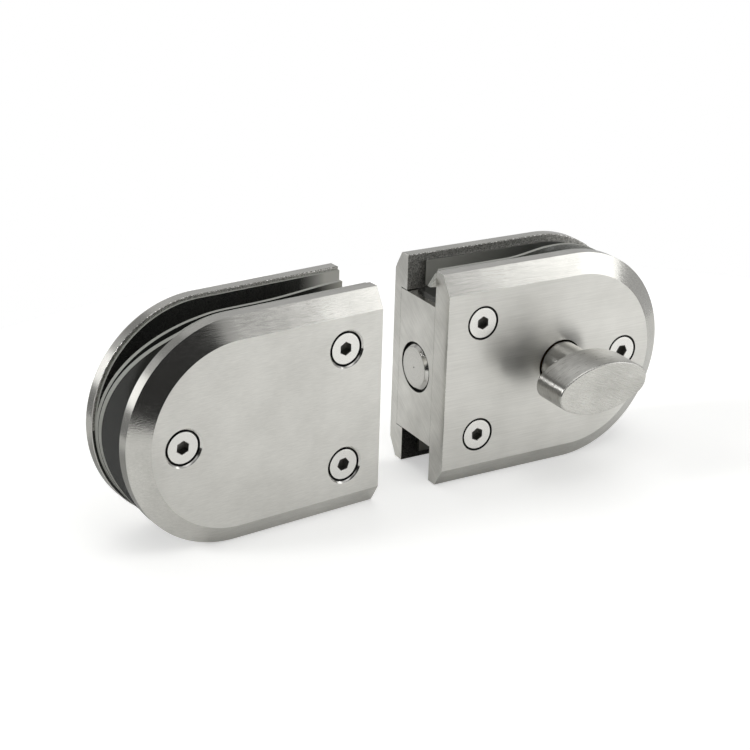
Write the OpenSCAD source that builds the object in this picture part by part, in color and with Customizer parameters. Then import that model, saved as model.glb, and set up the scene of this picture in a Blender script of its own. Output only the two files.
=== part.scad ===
// Patch lock for two glass leaves: a lock half with a thumb turn and its keeper half.
// X runs along the halves, Y runs from the front face to the back, Z is up.
// Both halves stand on the bottom edges of their plates, at Z = 0.

/* [Plates] */
// Height of every plate, which is also the width of its round end
plate_h = 75; // [64:1:90]
// Length of a plate from its straight edge to the tip of its round end
plate_w = 90; // [86:1:110]
// Thickness of a plate
plate_t = 8; // [6.5:0.5:11]
// Depth of the wide bevel, measured from the outer face
bevel_d = 4; // [2:0.5:5]
// Width of the wide bevel, measured across the outer face
bevel_w = 6.5; // [3:0.5:8]
// Space between the front and the back plate
plate_gap = 18; // [16.5:0.5:24]

/* [Block] */
// Grip of the plates on the glass round the block
grip = 12.5; // [9:0.5:14]
// Depth of the seat in the back plate that takes the block
seat_depth = 3.8; // [2:0.2:4]
// Play between the block and its seat
seat_play = 0.05; // [0.03:0.01:0.1]

/* [Bolt] */
// Diameter of the round bolt
bolt_d = 16; // [12:0.5:16.5]
// Play round the bolt in its guide bore
bolt_play = 0.05; // [0.03:0.01:0.09]
// Width of the open ring round the bolt at the mouth of the guide bore
mouth_ring = 0.75; // [0.4:0.05:1]
// Depth of that ring
mouth_depth = 1.2; // [0.6:0.1:2]
// Length of the guide bore
guide_l = 26; // [24:1:28]
// How far the withdrawn bolt stands out of the block
bolt_proud = 0.6; // [0:0.1:1]
// Chamfer on the nose of the bolt
nose_chamfer = 1; // [0.4:0.1:2]
// Thickness of the flat tail of the bolt
tail_t = 6; // [5:0.25:7]
// Height of the part of the tail that follows the bolt into its bore
tail_h = 14; // [10:0.5:14.4]

/* [Thumb turn] */
// Distance from the straight edge to the axis of the thumb turn
backset = 46.4; // [45:0.2:49]
// Length of the oval knob
knob_l = 35; // [28:0.5:40]
// Height of the oval knob
knob_h = 17.5; // [17:0.25:22]
// Radius of the tight ends of the oval
knob_end_r = 5.4; // [4.5:0.1:7]
// Thickness of the oval knob
knob_t = 13.7; // [8:0.1:18]
// Small edge chamfer on the knob
knob_edge = 0.35; // [0.1:0.05:0.6]
// Tilt of the oval when the bolt is withdrawn
knob_tilt = 3.7; // [0:0.1:8]
// Diameter of the round stem behind the knob
stem_d = 16; // [14.5:0.5:17]
// Length of the stem
stem_l = 10.7; // [8:0.1:16]
// Running gap between the stem and the front plate
stem_gap = 0.3; // [0.1:0.1:0.6]
// Diameter of the spindle
spindle_d = 10; // [8:0.5:11]
// Play round the spindle in its bush
spindle_play = 0.05; // [0.03:0.01:0.09]
// Depth of the spindle's socket in the stem
spindle_grip = 9.2; // [7:0.1:10.2]
// Wall of the bush
bush_wall = 2; // [1.5:0.25:2.5]
// Thickness of the friction washer
washer_t = 0.4; // [0.3:0.05:0.5]
// Radius from the spindle's axis to the crank pin
crank_r = 8; // [7:0.1:8.5]
// Diameter of the crank pin
pin_d = 5; // [4:0.25:5.5]
// Play on each side of the crank pin in the slot of the bolt
slot_play = 0.45; // [0.4:0.05:0.6]
// Thickness of the crank disc
disc_t = 3.9; // [3:0.1:4.2]
// Radial rim of the crank disc outside its pin
disc_rim = 0.6; // [0.4:0.1:1.2]

/* [Screws] */
// Distance from the straight edge to the two side screws
screw_edge = 13.75; // [11:0.25:18]
// Distance from the outline of the block to the screw axes
screw_inset = 5; // [4.7:0.1:5.4]
// Diameter of the screw heads
head_d = 10.4; // [9.6:0.1:10.8]
// Straight rim of the screw heads
head_rim = 0.25; // [0.1:0.05:0.6]
// Diameter of the screw shanks
shank_d = 6; // [5:0.1:6]
// Width across the flats of the hex sockets
hex_af = 4; // [3:0.5:4]
// Depth of the hex sockets
hex_depth = 2.8; // [2:0.1:3.2]
// Play round the shanks in the front plate and the block
shank_play = 0.3; // [0.2:0.05:0.4]
// Depth of the blind threaded holes behind the seat
thread_depth = 3.1; // [1.5:0.1:3.2]
// Diameter of the straight recess round each screw head
recess_d = 11.8; // [11.4:0.1:12.4]
// Depth of the seat cone's edge below the top of the screw head
recess_l = 1.2; // [0.8:0.1:1.4]
// Depth of the screw heads below the face of the lock half
lock_head_sink = 0.05; // [0:0.05:0.5]
// Depth of the screw heads below the face of the keeper half
keeper_head_sink = 0.6; // [0.2:0.05:1]
// Radial width of the chamfer on the mouths of the keeper half's recesses
keeper_mouth = 0.55; // [0.2:0.05:0.8]

/* [Gaskets] */
// Thickness of the gaskets on the back plates
back_gasket_t = 1; // [0.5:0.1:1.5]
// Thickness of the gasket sheet that lies on a front plate
front_gasket_t = 1.6; // [1:0.1:2]
// Thickness of the spare sheet behind it
spare_gasket_t = 1.3; // [0.8:0.1:1.5]
// Inset of the loose sheets from the outline of the plates
gasket_inset = 0.5; // [0.2:0.1:1.5]
// Inset of the lock half's back gasket
lock_back_inset = 2.5; // [0.5:0.1:3]
// Inset of the keeper half's back gasket
keeper_back_inset = 1; // [0.2:0.1:3]
// Gap between the block and the gaskets round it
gasket_gap = 0.3; // [0.2:0.1:1]
// Distance from the straight edge to the back gasket of the lock half
lock_gasket_start = 6.5; // [3:0.5:10]
// Distance from the straight edge to the sheets on the lock half's front plate
lock_sheet_start = 2.2; // [1:0.1:4]
// How far the corner of the lock half's front sheet stands out of the straight edge
sheet_corner = 2.3; // [1:0.1:3]
// Distance from the straight edge to the keeper half's spare sheet
keeper_spare_start = 6.2; // [1:0.1:8]
// Thickness of the liner round the block
liner_t = 1; // [0.5:0.1:1.5]
// Distance from the straight edge to the start of the liner
liner_start = 3.5; // [2:0.5:8]
// Distance from the front plate to the liner of the lock half
lock_liner_lead = 5.7; // [2:0.1:7]

/* [Keeper] */
// Distance between the straight edges of the two halves
keeper_gap = 24.2; // [4:0.1:40]
// Offset of the keeper towards the back
keeper_shift = 0.25; // [0:0.05:2]
// Turn of the keeper about the vertical, as it stands beside the lock
keeper_turn = 5.3; // [0:0.1:8]
// Diameter of the bolt's bore in the keeper
keeper_bore_d = 17; // [16.8:0.1:18]
// Depth of the bolt's bore in the keeper
keeper_bore_l = 16; // [13:1:24]
// Lead-in chamfer of that bore
keeper_lead = 0.8; // [0.4:0.1:1.5]

/* [Hidden] */
$fn = 96;
eps = 1;

end_r = plate_h / 2;
straight = plate_w - end_r;
depth = 2 * plate_t + plate_gap;
back_y = plate_t + plate_gap;
block_r = end_r - grip;
block_y1 = back_y + seat_depth;

// The bolt runs in the middle of the block
bolt_y = (plate_t + block_y1) / 2;
bolt_r = bolt_d / 2;
pocket_y = bolt_y - bolt_r - bolt_play;
pocket_x1 = backset + crank_r + pin_d / 2 + disc_rim + 2;

// The crank turns a quarter turn, half of it on each side of upright
crank_half = 45;
pin_x = backset + crank_r * sin(crank_half);
pin_z = crank_r * cos(crank_half);
pin_r = pin_d / 2;
disc_r = crank_r + pin_r + disc_rim;
washer_gap = 0.05;
disc_y = pocket_y + washer_t + 2 * washer_gap;
pin_past_tail = 0.5;
pin_y1 = bolt_y + tail_t / 2 + pin_past_tail;
slot_w = pin_d + 2 * slot_play;
slot_z0 = pin_z - pin_r - slot_play;
slot_z1 = crank_r + pin_r + slot_play;
yoke_wall = 2.6;
yoke_x0 = pin_x - slot_w / 2 - yoke_wall;
yoke_x1 = pin_x + slot_w / 2 + yoke_wall;
yoke_z1 = slot_z1 + yoke_wall;
pocket_play = 1;
pocket_z0 = -(disc_r + pocket_play);
pocket_z1 = yoke_z1 + pocket_play;
bolt_round_x1 = guide_l + 1;
centre_mark = 0.6;

spindle_r = spindle_d / 2;
bush_r = spindle_r + spindle_play + bush_wall;
bush_setback = 0.2;
slip = 0.02;
stem_r = stem_d / 2;
knob_y1 = -stem_gap - stem_l;
skin = 0.01;
ARC_STEPS = 18;
grub_r = 2;
grub_l = stem_r - spindle_r;
grub_y = -stem_gap - stem_l / 2;
grub_flat = 0.3;
grub_hex_af = 2;
grub_hex_depth = 1.4;

head_r = head_d / 2;
shank_r = shank_d / 2;
hex_r = hex_af / 2 / cos(30);
thread_clear = 0.05;
head_seat_gap = 0.03;
thread_tip = 0.4;

// Places of the three screws of a half, as [distance from the straight edge, height]
screw_side_z = block_r - screw_inset;
SCREW_TOP = [screw_edge, screw_side_z];
SCREW_BOTTOM = [screw_edge, -screw_side_z];
SCREW_END = [straight + screw_side_z, 0];
SCREWS = [SCREW_TOP, SCREW_BOTTOM, SCREW_END];

// Centre of the whole set's outline on the floor
turn_s = sin(keeper_turn);
turn_c = cos(keeper_turn);
left_x = -keeper_gap - plate_w * turn_c - (depth - bevel_d) * turn_s;
front_y = -stem_gap - stem_l - knob_t;
rear_y = max(depth, keeper_shift + depth * turn_c);
centre_x = (left_x + plate_w) / 2;
centre_y = (front_y + rear_y) / 2;

STEEL = [0.74, 0.74, 0.72];
STEEL_DARK = [0.55, 0.55, 0.53];
POLISHED = [0.85, 0.85, 0.84];
BRONZE = [0.72, 0.56, 0.33];
NYLON = [0.9, 0.9, 0.86];
CLEAR = [0.8, 0.82, 0.78, 0.6];

// Stands the set on the floor with its outline centred on the origin
module on_floor() {
    translate([-centre_x, -centre_y, end_r]) children();
}

// Puts a piece that is drawn as for the lock half on the keeper half
module on_keeper() {
    translate([-keeper_gap, keeper_shift, 0])
        rotate([0, 0, keeper_turn])
            mirror([1, 0, 0]) children();
}

// Extrudes a drawing of the front view from one depth to another
module slab(y0, y1) {
    translate([0, y1, 0])
        rotate([90, 0, 0])
            linear_extrude(height = y1 - y0) children();
}

// Outline with a straight edge and a round end, drawn in the front view
module d_shape(r, start = 0) {
    translate([start, -r]) square([straight - start, 2 * r]);
    translate([straight, 0]) circle(r = r);
}

// A turned piece along Y, from a depth y0 over a length l
module turned_y(x, z, y0, l, r0, r1) {
    translate([x, y0, z])
        rotate([-90, 0, 0]) cylinder(h = l, r1 = r0, r2 = r1);
}

// A turned piece along X
module turned_x(x0, l, r0, r1) {
    translate([x0, bolt_y, 0])
        rotate([0, 90, 0]) cylinder(h = l, r1 = r0, r2 = r1);
}

// Plate with its wide bevel round the top, the round end and the bottom
module bevelled_plate() {
    face_r = end_r - bevel_w;
    slab(bevel_d, plate_t) d_shape(end_r);
    rotate([90, 0, 90])
        linear_extrude(height = straight)
            polygon([[0, -face_r], [bevel_d, -end_r], [bevel_d, end_r], [0, face_r]]);
    turned_y(straight, 0, 0, bevel_d, face_r, end_r);
}

// Recessed and countersunk through hole for a screw, with a chamfer of its own on the mouth
module sunk_hole(at, head_sink, mouth) {
    recess_r = recess_d / 2;
    seat_y = head_sink + recess_l;
    seat_r = head_r - (recess_l - head_rim) + head_seat_gap;
    hole_r = shank_r + shank_play;
    turned_y(at[0], at[1], -eps, eps + seat_y, recess_r, recess_r);
    turned_y(at[0], at[1], seat_y, seat_r - hole_r, seat_r, hole_r);
    turned_y(at[0], at[1], 0, plate_t + eps, hole_r, hole_r);
    if (mouth > 0) {
        turned_y(at[0], at[1], -eps, eps, recess_r + mouth, recess_r + mouth);
        turned_y(at[0], at[1], 0, mouth, recess_r + mouth, recess_r);
    }
}

module front_plate(head_sink, mouth) {
    difference() {
        bevelled_plate();
        for (at = SCREWS) sunk_hole(at, head_sink, mouth);
        children();
    }
}

module back_plate() {
    difference() {
        translate([0, depth, 0]) mirror([0, 1, 0]) bevelled_plate();
        slab(back_y - eps, block_y1) d_shape(block_r + seat_play, -eps);
        for (at = SCREWS)
            turned_y(at[0], at[1], back_y, seat_depth + thread_depth,
                shank_r + thread_clear, shank_r + thread_clear);
    }
}

module block_body() {
    difference() {
        slab(plate_t, block_y1) d_shape(block_r);
        for (at = SCREWS)
            turned_y(at[0], at[1], plate_t - eps, block_y1 - plate_t + 2 * eps,
                shank_r + shank_play, shank_r + shank_play);
        children();
    }
}

// Countersunk socket screw from the front plate into the back plate, its socket turned as it was left
module screw(at, head_sink, turn) {
    cone_y = head_sink + head_rim;
    cone_l = head_r - shank_r;
    tip_y = block_y1 + thread_depth - thread_tip;
    difference() {
        union() {
            turned_y(at[0], at[1], cone_y - head_rim, head_rim, head_r, head_r);
            turned_y(at[0], at[1], cone_y, cone_l, head_r, shank_r);
            turned_y(at[0], at[1], cone_y, tip_y - cone_y, shank_r, shank_r);
        }
        translate([at[0], cone_y - head_rim - eps, at[1]])
            rotate([-90, turn, 0]) cylinder(h = hex_depth + eps, r = hex_r, $fn = 6);
    }
}

// Share of a bend at x that starts at a and is whole at b
function share(x, a, b) = max(0, min(1, (x - a) / (b - a)));

// Share of a curl that grows towards the end of a sheet
function curl(x, a, b, power) = pow(share(x, a, b), power);

// Share of an S bend between two places
function ease(x, a, b) = let (s = share(x, a, b)) s * s * (3 - 2 * s);

// Depth of the back of each loose front sheet at a distance from the straight edge
SHEET_STEP = 2;
sheet_reach = plate_w - gasket_inset;
sheet_lay = 0.1;
gasket_lead = 0.1;
lock_sheet_lift = 5.2;
function lock_front_y(x) = plate_t + sheet_lay + front_gasket_t;
function lock_spare_y(x) = plate_t + 2 * sheet_lay + front_gasket_t + spare_gasket_t
    + lock_sheet_lift * ease(x, 0.31 * plate_w, 0.58 * plate_w);
bend_stretch = 1.25;
keeper_loose = 1;
keeper_edge_lift = 3.7;
keeper_front_base = plate_t + sheet_lay + front_gasket_t;
keeper_spare_base = keeper_front_base + spare_gasket_t + keeper_loose;
keeper_spare_tip = back_y - back_gasket_t - gasket_gap;
keeper_front_tip = keeper_spare_tip - bend_stretch * spare_gasket_t - 2 * sheet_lay;
function keeper_front_y(x) = keeper_front_base
    + (keeper_front_tip - keeper_front_base) * curl(x, 0.755 * plate_w, plate_w, 1.3);
function keeper_spare_y(x) = keeper_spare_base
    + (keeper_spare_tip - keeper_spare_base) * curl(x, 0.63 * plate_w, plate_w, 1.8)
    + keeper_edge_lift * ease(-x, -0.44 * plate_w, -0.055 * plate_w);

// Ring of gasket round the block, as seen from the front
module gasket_ring(start, inset, inner_r) {
    difference() {
        d_shape(end_r - inset, start);
        d_shape(inner_r, start - eps);
    }
}

// Slope of a sheet at one of its [x, y] points
function slope(pts, i) = let (a = pts[max(0, i - 1)], b = pts[min(len(pts) - 1, i + 1)])
    (b[1] - a[1]) / (b[0] - a[0]);

// Band seen from above between a sheet's back and its front, which keeps its thickness in a bend
module sheet_band(pts, t) {
    polygon(concat(pts, [for (i = [len(pts) - 1 : -1 : 0]) pts[i] - [0, t * sqrt(1 + pow(slope(pts, i), 2))]]));
}

sheet_inner_r = block_r + liner_t + 2 * gasket_gap;
module curved_sheet(pts, t, start) {
    intersection() {
        translate([0, 0, -end_r]) linear_extrude(height = plate_h) sheet_band(pts, t);
        slab(plate_t, back_y) gasket_ring(start, gasket_inset, sheet_inner_r);
    }
}

function sheet_places() = [for (x = [0 : SHEET_STEP : sheet_reach + SHEET_STEP]) x];

module back_gasket(start, inset) {
    slab(back_y - back_gasket_t, back_y) gasket_ring(start, inset, block_r + liner_t + gasket_gap);
}

// Soft strip that keeps the glass off the block
module edge_liner(y0) {
    slab(y0, back_y - back_gasket_t - gasket_gap)
        difference() {
            d_shape(block_r + liner_t, liner_start);
            d_shape(block_r, liner_start - eps);
        }
}

module lock_front_plate() {
    color(STEEL) on_floor() front_plate(lock_head_sink, 0)
        turned_y(backset, 0, -eps, plate_t + 2 * eps, bush_r + slip, bush_r + slip);
}

module lock_back_plate() {
    color(STEEL) on_floor() back_plate();
}

module lock_block() {
    color(STEEL) on_floor() block_body() {
        turned_x(-eps, eps + mouth_depth, bolt_r + mouth_ring, bolt_r + mouth_ring);
        turned_x(0, guide_l + eps, bolt_r + bolt_play, bolt_r + bolt_play);
        translate([guide_l, pocket_y, pocket_z0])
            cube([pocket_x1 - guide_l, block_y1 - pocket_y + eps, pocket_z1 - pocket_z0]);
        turned_y(backset, 0, plate_t - eps, pocket_y - plate_t + 2 * eps, bush_r + slip, bush_r + slip);
    }
}

// Flat sheet whose upper corner is cut to a point that stands out of the straight edge
module lock_front_gasket() {
    corner_z1 = end_r - gasket_inset - 0.8;
    corner_z0 = corner_z1 - 4.6;
    root_x = lock_sheet_start + eps;
    color(CLEAR) on_floor() slab(plate_t + sheet_lay, lock_front_y(0)) {
        gasket_ring(lock_sheet_start, gasket_inset, sheet_inner_r);
        polygon([[root_x, corner_z1], [0.5, corner_z1], [-sheet_corner, corner_z0 + 0.7], [root_x, corner_z0]]);
    }
}

module lock_spare_gasket() {
    color(CLEAR) on_floor()
        curved_sheet([for (x = sheet_places()) [x, lock_spare_y(x)]], spare_gasket_t, lock_sheet_start);
}

module lock_back_gasket() {
    color(CLEAR) on_floor() back_gasket(lock_gasket_start, lock_back_inset);
}

module lock_edge_liner() {
    color(CLEAR) on_floor() edge_liner(plate_t + lock_liner_lead);
}

module lock_screw_top() {
    color(POLISHED) on_floor() screw(SCREW_TOP, lock_head_sink, 30);
}

module lock_screw_bottom() {
    color(POLISHED) on_floor() screw(SCREW_BOTTOM, lock_head_sink, 27);
}

module lock_screw_end() {
    color(POLISHED) on_floor() screw(SCREW_END, lock_head_sink, 4);
}

// Plain bush through the front plate and the front wall of the block
module spindle_bush() {
    color(BRONZE) on_floor() difference() {
        turned_y(backset, 0, bush_setback, pocket_y - bush_setback, bush_r, bush_r);
        turned_y(backset, 0, 0, pocket_y + eps, spindle_r + spindle_play, spindle_r + spindle_play);
    }
}

// Washer between the block and the crank disc, which keeps the thumb turn where it is left
module friction_washer() {
    washer_y = pocket_y + washer_gap;
    color(NYLON) on_floor() difference() {
        turned_y(backset, 0, washer_y, washer_t, bush_r + 1, bush_r + 1);
        turned_y(backset, 0, washer_y - eps, washer_t + 2 * eps, spindle_r + 0.3, spindle_r + 0.3);
    }
}

// Round bolt whose flat tail carries the upright slot for the crank pin
module bolt() {
    tail_y = bolt_y - tail_t / 2;
    color(POLISHED) on_floor() difference() {
        union() {
            turned_x(-bolt_proud, nose_chamfer, bolt_r - nose_chamfer, bolt_r);
            turned_x(-bolt_proud + nose_chamfer, bolt_round_x1 + bolt_proud - nose_chamfer, bolt_r, bolt_r);
            translate([bolt_round_x1, tail_y, -tail_h / 2])
                cube([yoke_x1 - bolt_round_x1, tail_t, tail_h]);
            translate([yoke_x0, tail_y, -tail_h / 2])
                cube([yoke_x1 - yoke_x0, tail_t, tail_h / 2 + yoke_z1]);
        }
        turned_x(-bolt_proud, centre_mark, centre_mark, 0);
        translate([pin_x - slot_w / 2, tail_y - eps, slot_z0])
            cube([slot_w, tail_t + 2 * eps, slot_z1 - slot_z0]);
    }
}

// Points of an arc round a centre, without its last point
function arc(centre, r, a0, a1) = [for (i = [0 : ARC_STEPS - 1])
    centre + r * [cos(a0 + (a1 - a0) * i / ARC_STEPS), sin(a0 + (a1 - a0) * i / ARC_STEPS)]];

// Outline of the oval, drawn in by an inset: four arcs that run into each other
function oval(inset) = let (
    end_x = knob_l / 2 - knob_end_r,
    half_h = knob_h / 2,
    side_r = (end_x * end_x + half_h * half_h - knob_end_r * knob_end_r) / (2 * (half_h - knob_end_r)),
    side_z = side_r - half_h,
    meet = atan2(side_z, end_x)
) concat(
    arc([end_x, 0], knob_end_r - inset, -meet, meet),
    arc([0, -side_z], side_r - inset, meet, 180 - meet),
    arc([-end_x, 0], knob_end_r - inset, 180 - meet, 180 + meet),
    arc([0, side_z], side_r - inset, 180 + meet, 360 - meet)
);

// Oval knob on its round stem, with the spindle's socket and the grub screw's hole
module thumb_knob() {
    knob_y0 = knob_y1 - knob_t;
    color(POLISHED) on_floor() difference() {
        union() {
            translate([backset, 0, 0]) rotate([0, -knob_tilt, 0]) hull() {
                slab(knob_y0, knob_y0 + skin) polygon(oval(knob_edge));
                slab(knob_y0 + knob_edge, knob_y1) polygon(oval(0));
            }
            turned_y(backset, 0, knob_y1 - eps, stem_l + eps, stem_r, stem_r);
        }
        turned_y(backset, 0, -stem_gap - spindle_grip, spindle_grip + eps, spindle_r + slip, spindle_r + slip);
        translate([backset, grub_y, -stem_r - eps]) cylinder(h = stem_r + eps, r = grub_r + slip);
    }
}

module turn_spindle() {
    spindle_y0 = -stem_gap - spindle_grip + slip;
    flat_l = 2 * grub_r + 1;
    color(STEEL_DARK) on_floor() difference() {
        turned_y(backset, 0, spindle_y0, disc_y + disc_t - spindle_y0, spindle_r, spindle_r);
        translate([backset - spindle_r, grub_y - flat_l / 2, -spindle_r - eps])
            cube([spindle_d, flat_l, eps + grub_flat]);
    }
}

module crank_disc() {
    color(STEEL_DARK) on_floor() difference() {
        turned_y(backset, 0, disc_y, disc_t, disc_r, disc_r);
        turned_y(backset, 0, disc_y - eps, disc_t + 2 * eps, spindle_r + slip, spindle_r + slip);
        turned_y(pin_x, pin_z, disc_y - eps, disc_t + 2 * eps, pin_r + slip, pin_r + slip);
    }
}

module crank_pin() {
    color(POLISHED) on_floor() turned_y(pin_x, pin_z, disc_y, pin_y1 - disc_y, pin_r, pin_r);
}

module knob_grub_screw() {
    color(STEEL_DARK) on_floor() difference() {
        translate([backset, grub_y, -stem_r + grub_flat]) cylinder(h = grub_l - slip, r = grub_r);
        translate([backset, grub_y, -stem_r + grub_flat - eps])
            cylinder(h = grub_hex_depth + eps, r = grub_hex_af / 2 / cos(30), $fn = 6);
    }
}

module keeper_front_plate() {
    color(STEEL) on_floor() on_keeper() front_plate(keeper_head_sink, keeper_mouth);
}

module keeper_back_plate() {
    color(STEEL) on_floor() on_keeper() back_plate();
}

module keeper_block() {
    bore_r = keeper_bore_d / 2;
    color(STEEL) on_floor() on_keeper() block_body() {
        turned_x(-eps, keeper_bore_l + eps, bore_r, bore_r);
        turned_x(0, keeper_lead, bore_r + keeper_lead, bore_r);
        turned_x(-eps, eps, bore_r + keeper_lead, bore_r + keeper_lead);
    }
}

module keeper_front_gasket() {
    color(CLEAR) on_floor() on_keeper()
        curved_sheet([for (x = sheet_places()) [x, keeper_front_y(x)]], front_gasket_t, gasket_inset);
}

module keeper_spare_gasket() {
    color(CLEAR) on_floor() on_keeper()
        curved_sheet([for (x = sheet_places()) [x, keeper_spare_y(x)]], spare_gasket_t, keeper_spare_start);
}

module keeper_back_gasket() {
    color(CLEAR) on_floor() on_keeper() back_gasket(gasket_lead, keeper_back_inset);
}

module keeper_edge_liner() {
    color(CLEAR) on_floor() on_keeper() edge_liner(keeper_front_y(0) + gasket_gap);
}

module keeper_screw_top() {
    color(POLISHED) on_floor() on_keeper() screw(SCREW_TOP, keeper_head_sink, 30);
}

module keeper_screw_bottom() {
    color(POLISHED) on_floor() on_keeper() screw(SCREW_BOTTOM, keeper_head_sink, 8);
}

module keeper_screw_end() {
    color(POLISHED) on_floor() on_keeper() screw(SCREW_END, keeper_head_sink, 22);
}

lock_front_plate();
lock_back_plate();
lock_block();
lock_front_gasket();
lock_spare_gasket();
lock_back_gasket();
lock_edge_liner();
lock_screw_top();
lock_screw_bottom();
lock_screw_end();
spindle_bush();
friction_washer();
bolt();
thumb_knob();
turn_spindle();
crank_disc();
crank_pin();
knob_grub_screw();
keeper_front_plate();
keeper_back_plate();
keeper_block();
keeper_front_gasket();
keeper_spare_gasket();
keeper_back_gasket();
keeper_edge_liner();
keeper_screw_top();
keeper_screw_bottom();
keeper_screw_end();
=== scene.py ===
"""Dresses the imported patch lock: two clamp halves in brushed stainless steel, their screws, bolt, knob and gaskets.

Every half is drawn in its own axes, in millimetres: x runs from its straight edge into the half, y from its front face
to its back and z up from mid-height. The frame says where each half stands.
"""

from __future__ import annotations

import logging
import math
from collections.abc import Callable, Sequence
from dataclasses import dataclass
from enum import Enum

import bmesh
import bpy
from mathutils import Matrix, Vector
from mathutils.geometry import tessellate_polygon

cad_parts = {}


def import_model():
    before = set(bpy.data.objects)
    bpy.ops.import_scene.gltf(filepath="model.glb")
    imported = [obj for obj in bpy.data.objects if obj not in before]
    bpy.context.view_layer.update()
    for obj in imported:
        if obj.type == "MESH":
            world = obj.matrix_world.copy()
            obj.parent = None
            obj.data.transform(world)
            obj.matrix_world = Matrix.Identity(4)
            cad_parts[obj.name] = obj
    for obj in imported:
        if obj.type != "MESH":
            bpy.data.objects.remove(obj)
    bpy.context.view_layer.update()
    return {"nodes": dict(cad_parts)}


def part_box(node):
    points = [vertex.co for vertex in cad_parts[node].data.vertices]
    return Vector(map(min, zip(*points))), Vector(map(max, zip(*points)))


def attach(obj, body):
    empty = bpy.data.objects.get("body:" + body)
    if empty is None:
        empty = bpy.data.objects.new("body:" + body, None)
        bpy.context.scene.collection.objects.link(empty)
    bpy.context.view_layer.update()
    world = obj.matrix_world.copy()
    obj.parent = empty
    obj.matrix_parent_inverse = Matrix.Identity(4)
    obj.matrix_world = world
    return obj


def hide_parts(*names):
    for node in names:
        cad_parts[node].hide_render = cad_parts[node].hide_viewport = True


LOG = logging.getLogger("patch_lock")

MM = 0.001
ARC_STEPS = 96
RING_STEPS = 64
SIDE_STEPS = 24
# Points nearer to each other than this become one, and a point nearer to a plane than the next lies on it
MERGE_MM = 1e-4
NEAR_MM = 0.01
# Faces that meet at a larger angle than this keep a sharp edge
SHARP_ANGLE = math.radians(34)
KEEPER_TURN = math.radians(5.3)

Point2 = tuple[float, float]
Point3 = tuple[float, float, float]
Colour = tuple[float, float, float, float]
Material = bpy.types.Material
# Both take an edge's middle, in the half's axes
StaysSharp = Callable[[Vector], bool]
EdgeFinish = Callable[[Vector], Material | None]


def linear(hex_colour: str) -> Colour:
    """Turns an sRGB hex value into a linear colour.

    Args:
        hex_colour: Six hex digits with a leading hash sign.

    Returns:
        Linear red, green and blue, and an alpha of 1.
    """
    parts = [int(hex_colour[i : i + 2], 16) / 255 for i in (1, 3, 5)]
    red, green, blue = (c / 12.92 if c <= 0.04045 else ((c + 0.055) / 1.055) ** 2.4 for c in parts)
    return (red, green, blue, 1.0)


def add_node(
    tree: bpy.types.NodeTree, kind: str, inputs: dict[str | int, object] | None = None, **settings: object
) -> bpy.types.Node:
    """Adds a node with its settings and links.

    Args:
        tree: The node tree of a material or of the world.
        kind: Blender's name for the type of node, without its leading ShaderNode.
        inputs: For each input socket, a value, an output socket, or a node whose first output in use is linked to it.
        **settings: Properties of the node itself.

    Returns:
        The new node.
    """
    node = tree.nodes.new(f"ShaderNode{kind}")
    for name, value in settings.items():
        setattr(node, name, value)
    for name, value in (inputs or {}).items():
        if isinstance(value, bpy.types.Node):
            value = next(output for output in value.outputs if output.enabled)
        if isinstance(value, bpy.types.NodeSocket):
            tree.links.new(value, node.inputs[name])
        else:
            node.inputs[name].default_value = value
    return node


def new_tree(name: str) -> tuple[Material, bpy.types.NodeTree]:
    """Makes a material with an empty node tree.

    Args:
        name: The material's name.

    Returns:
        The material and its tree.
    """
    material = bpy.data.materials.new(name)
    material.use_nodes = True
    material.node_tree.nodes.clear()
    return material, material.node_tree


class Lay(Enum):
    """Which way the scratches run.

    A turn about X, Y and Z, then along which axes they are long (1) or fine (0), then the direction across them.
    """

    ALONG = ((0.0, 0.0, 0.0), (1, 0, 0), (0.0, 0.0, 1.0))
    DOWN_THE_EDGE = ((math.radians(-38), 0.0, 0.0), (0, 1, 0), (0.0, 0.0, 1.0))
    ACROSS_THE_KNOB = ((0.0, math.radians(-24), 0.0), (1, 0, 0), (0.0, 0.0, 1.0))
    ROUND_THE_KNOB = ((0.0, 0.0, 0.0), (1, 0, 1), (0.0, 1.0, 0.0))


@dataclass(frozen=True)
class Finish:
    """A material, whose own class says how its surface was made."""

    name: str

    def pattern(self, tree: bpy.types.NodeTree, place: bpy.types.NodeSocket) -> dict[str, object]:
        """Draws the surface's pattern.

        Args:
            tree: The material's node tree.
            place: Each point's place in the row frame at rest, in metres.

        Returns:
            What goes into the shader's sockets.
        """
        raise NotImplementedError

    def build(self) -> Material:
        """Builds the material.

        Returns:
            The material with its nodes.
        """
        material, tree = new_tree(self.name)
        place = add_node(tree, "TexCoord").outputs["Object"]
        shader = add_node(tree, "BsdfPrincipled", {"Metallic": 1.0, **self.pattern(tree, place)})
        add_node(tree, "OutputMaterial", {"Surface": shader})
        return material


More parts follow.
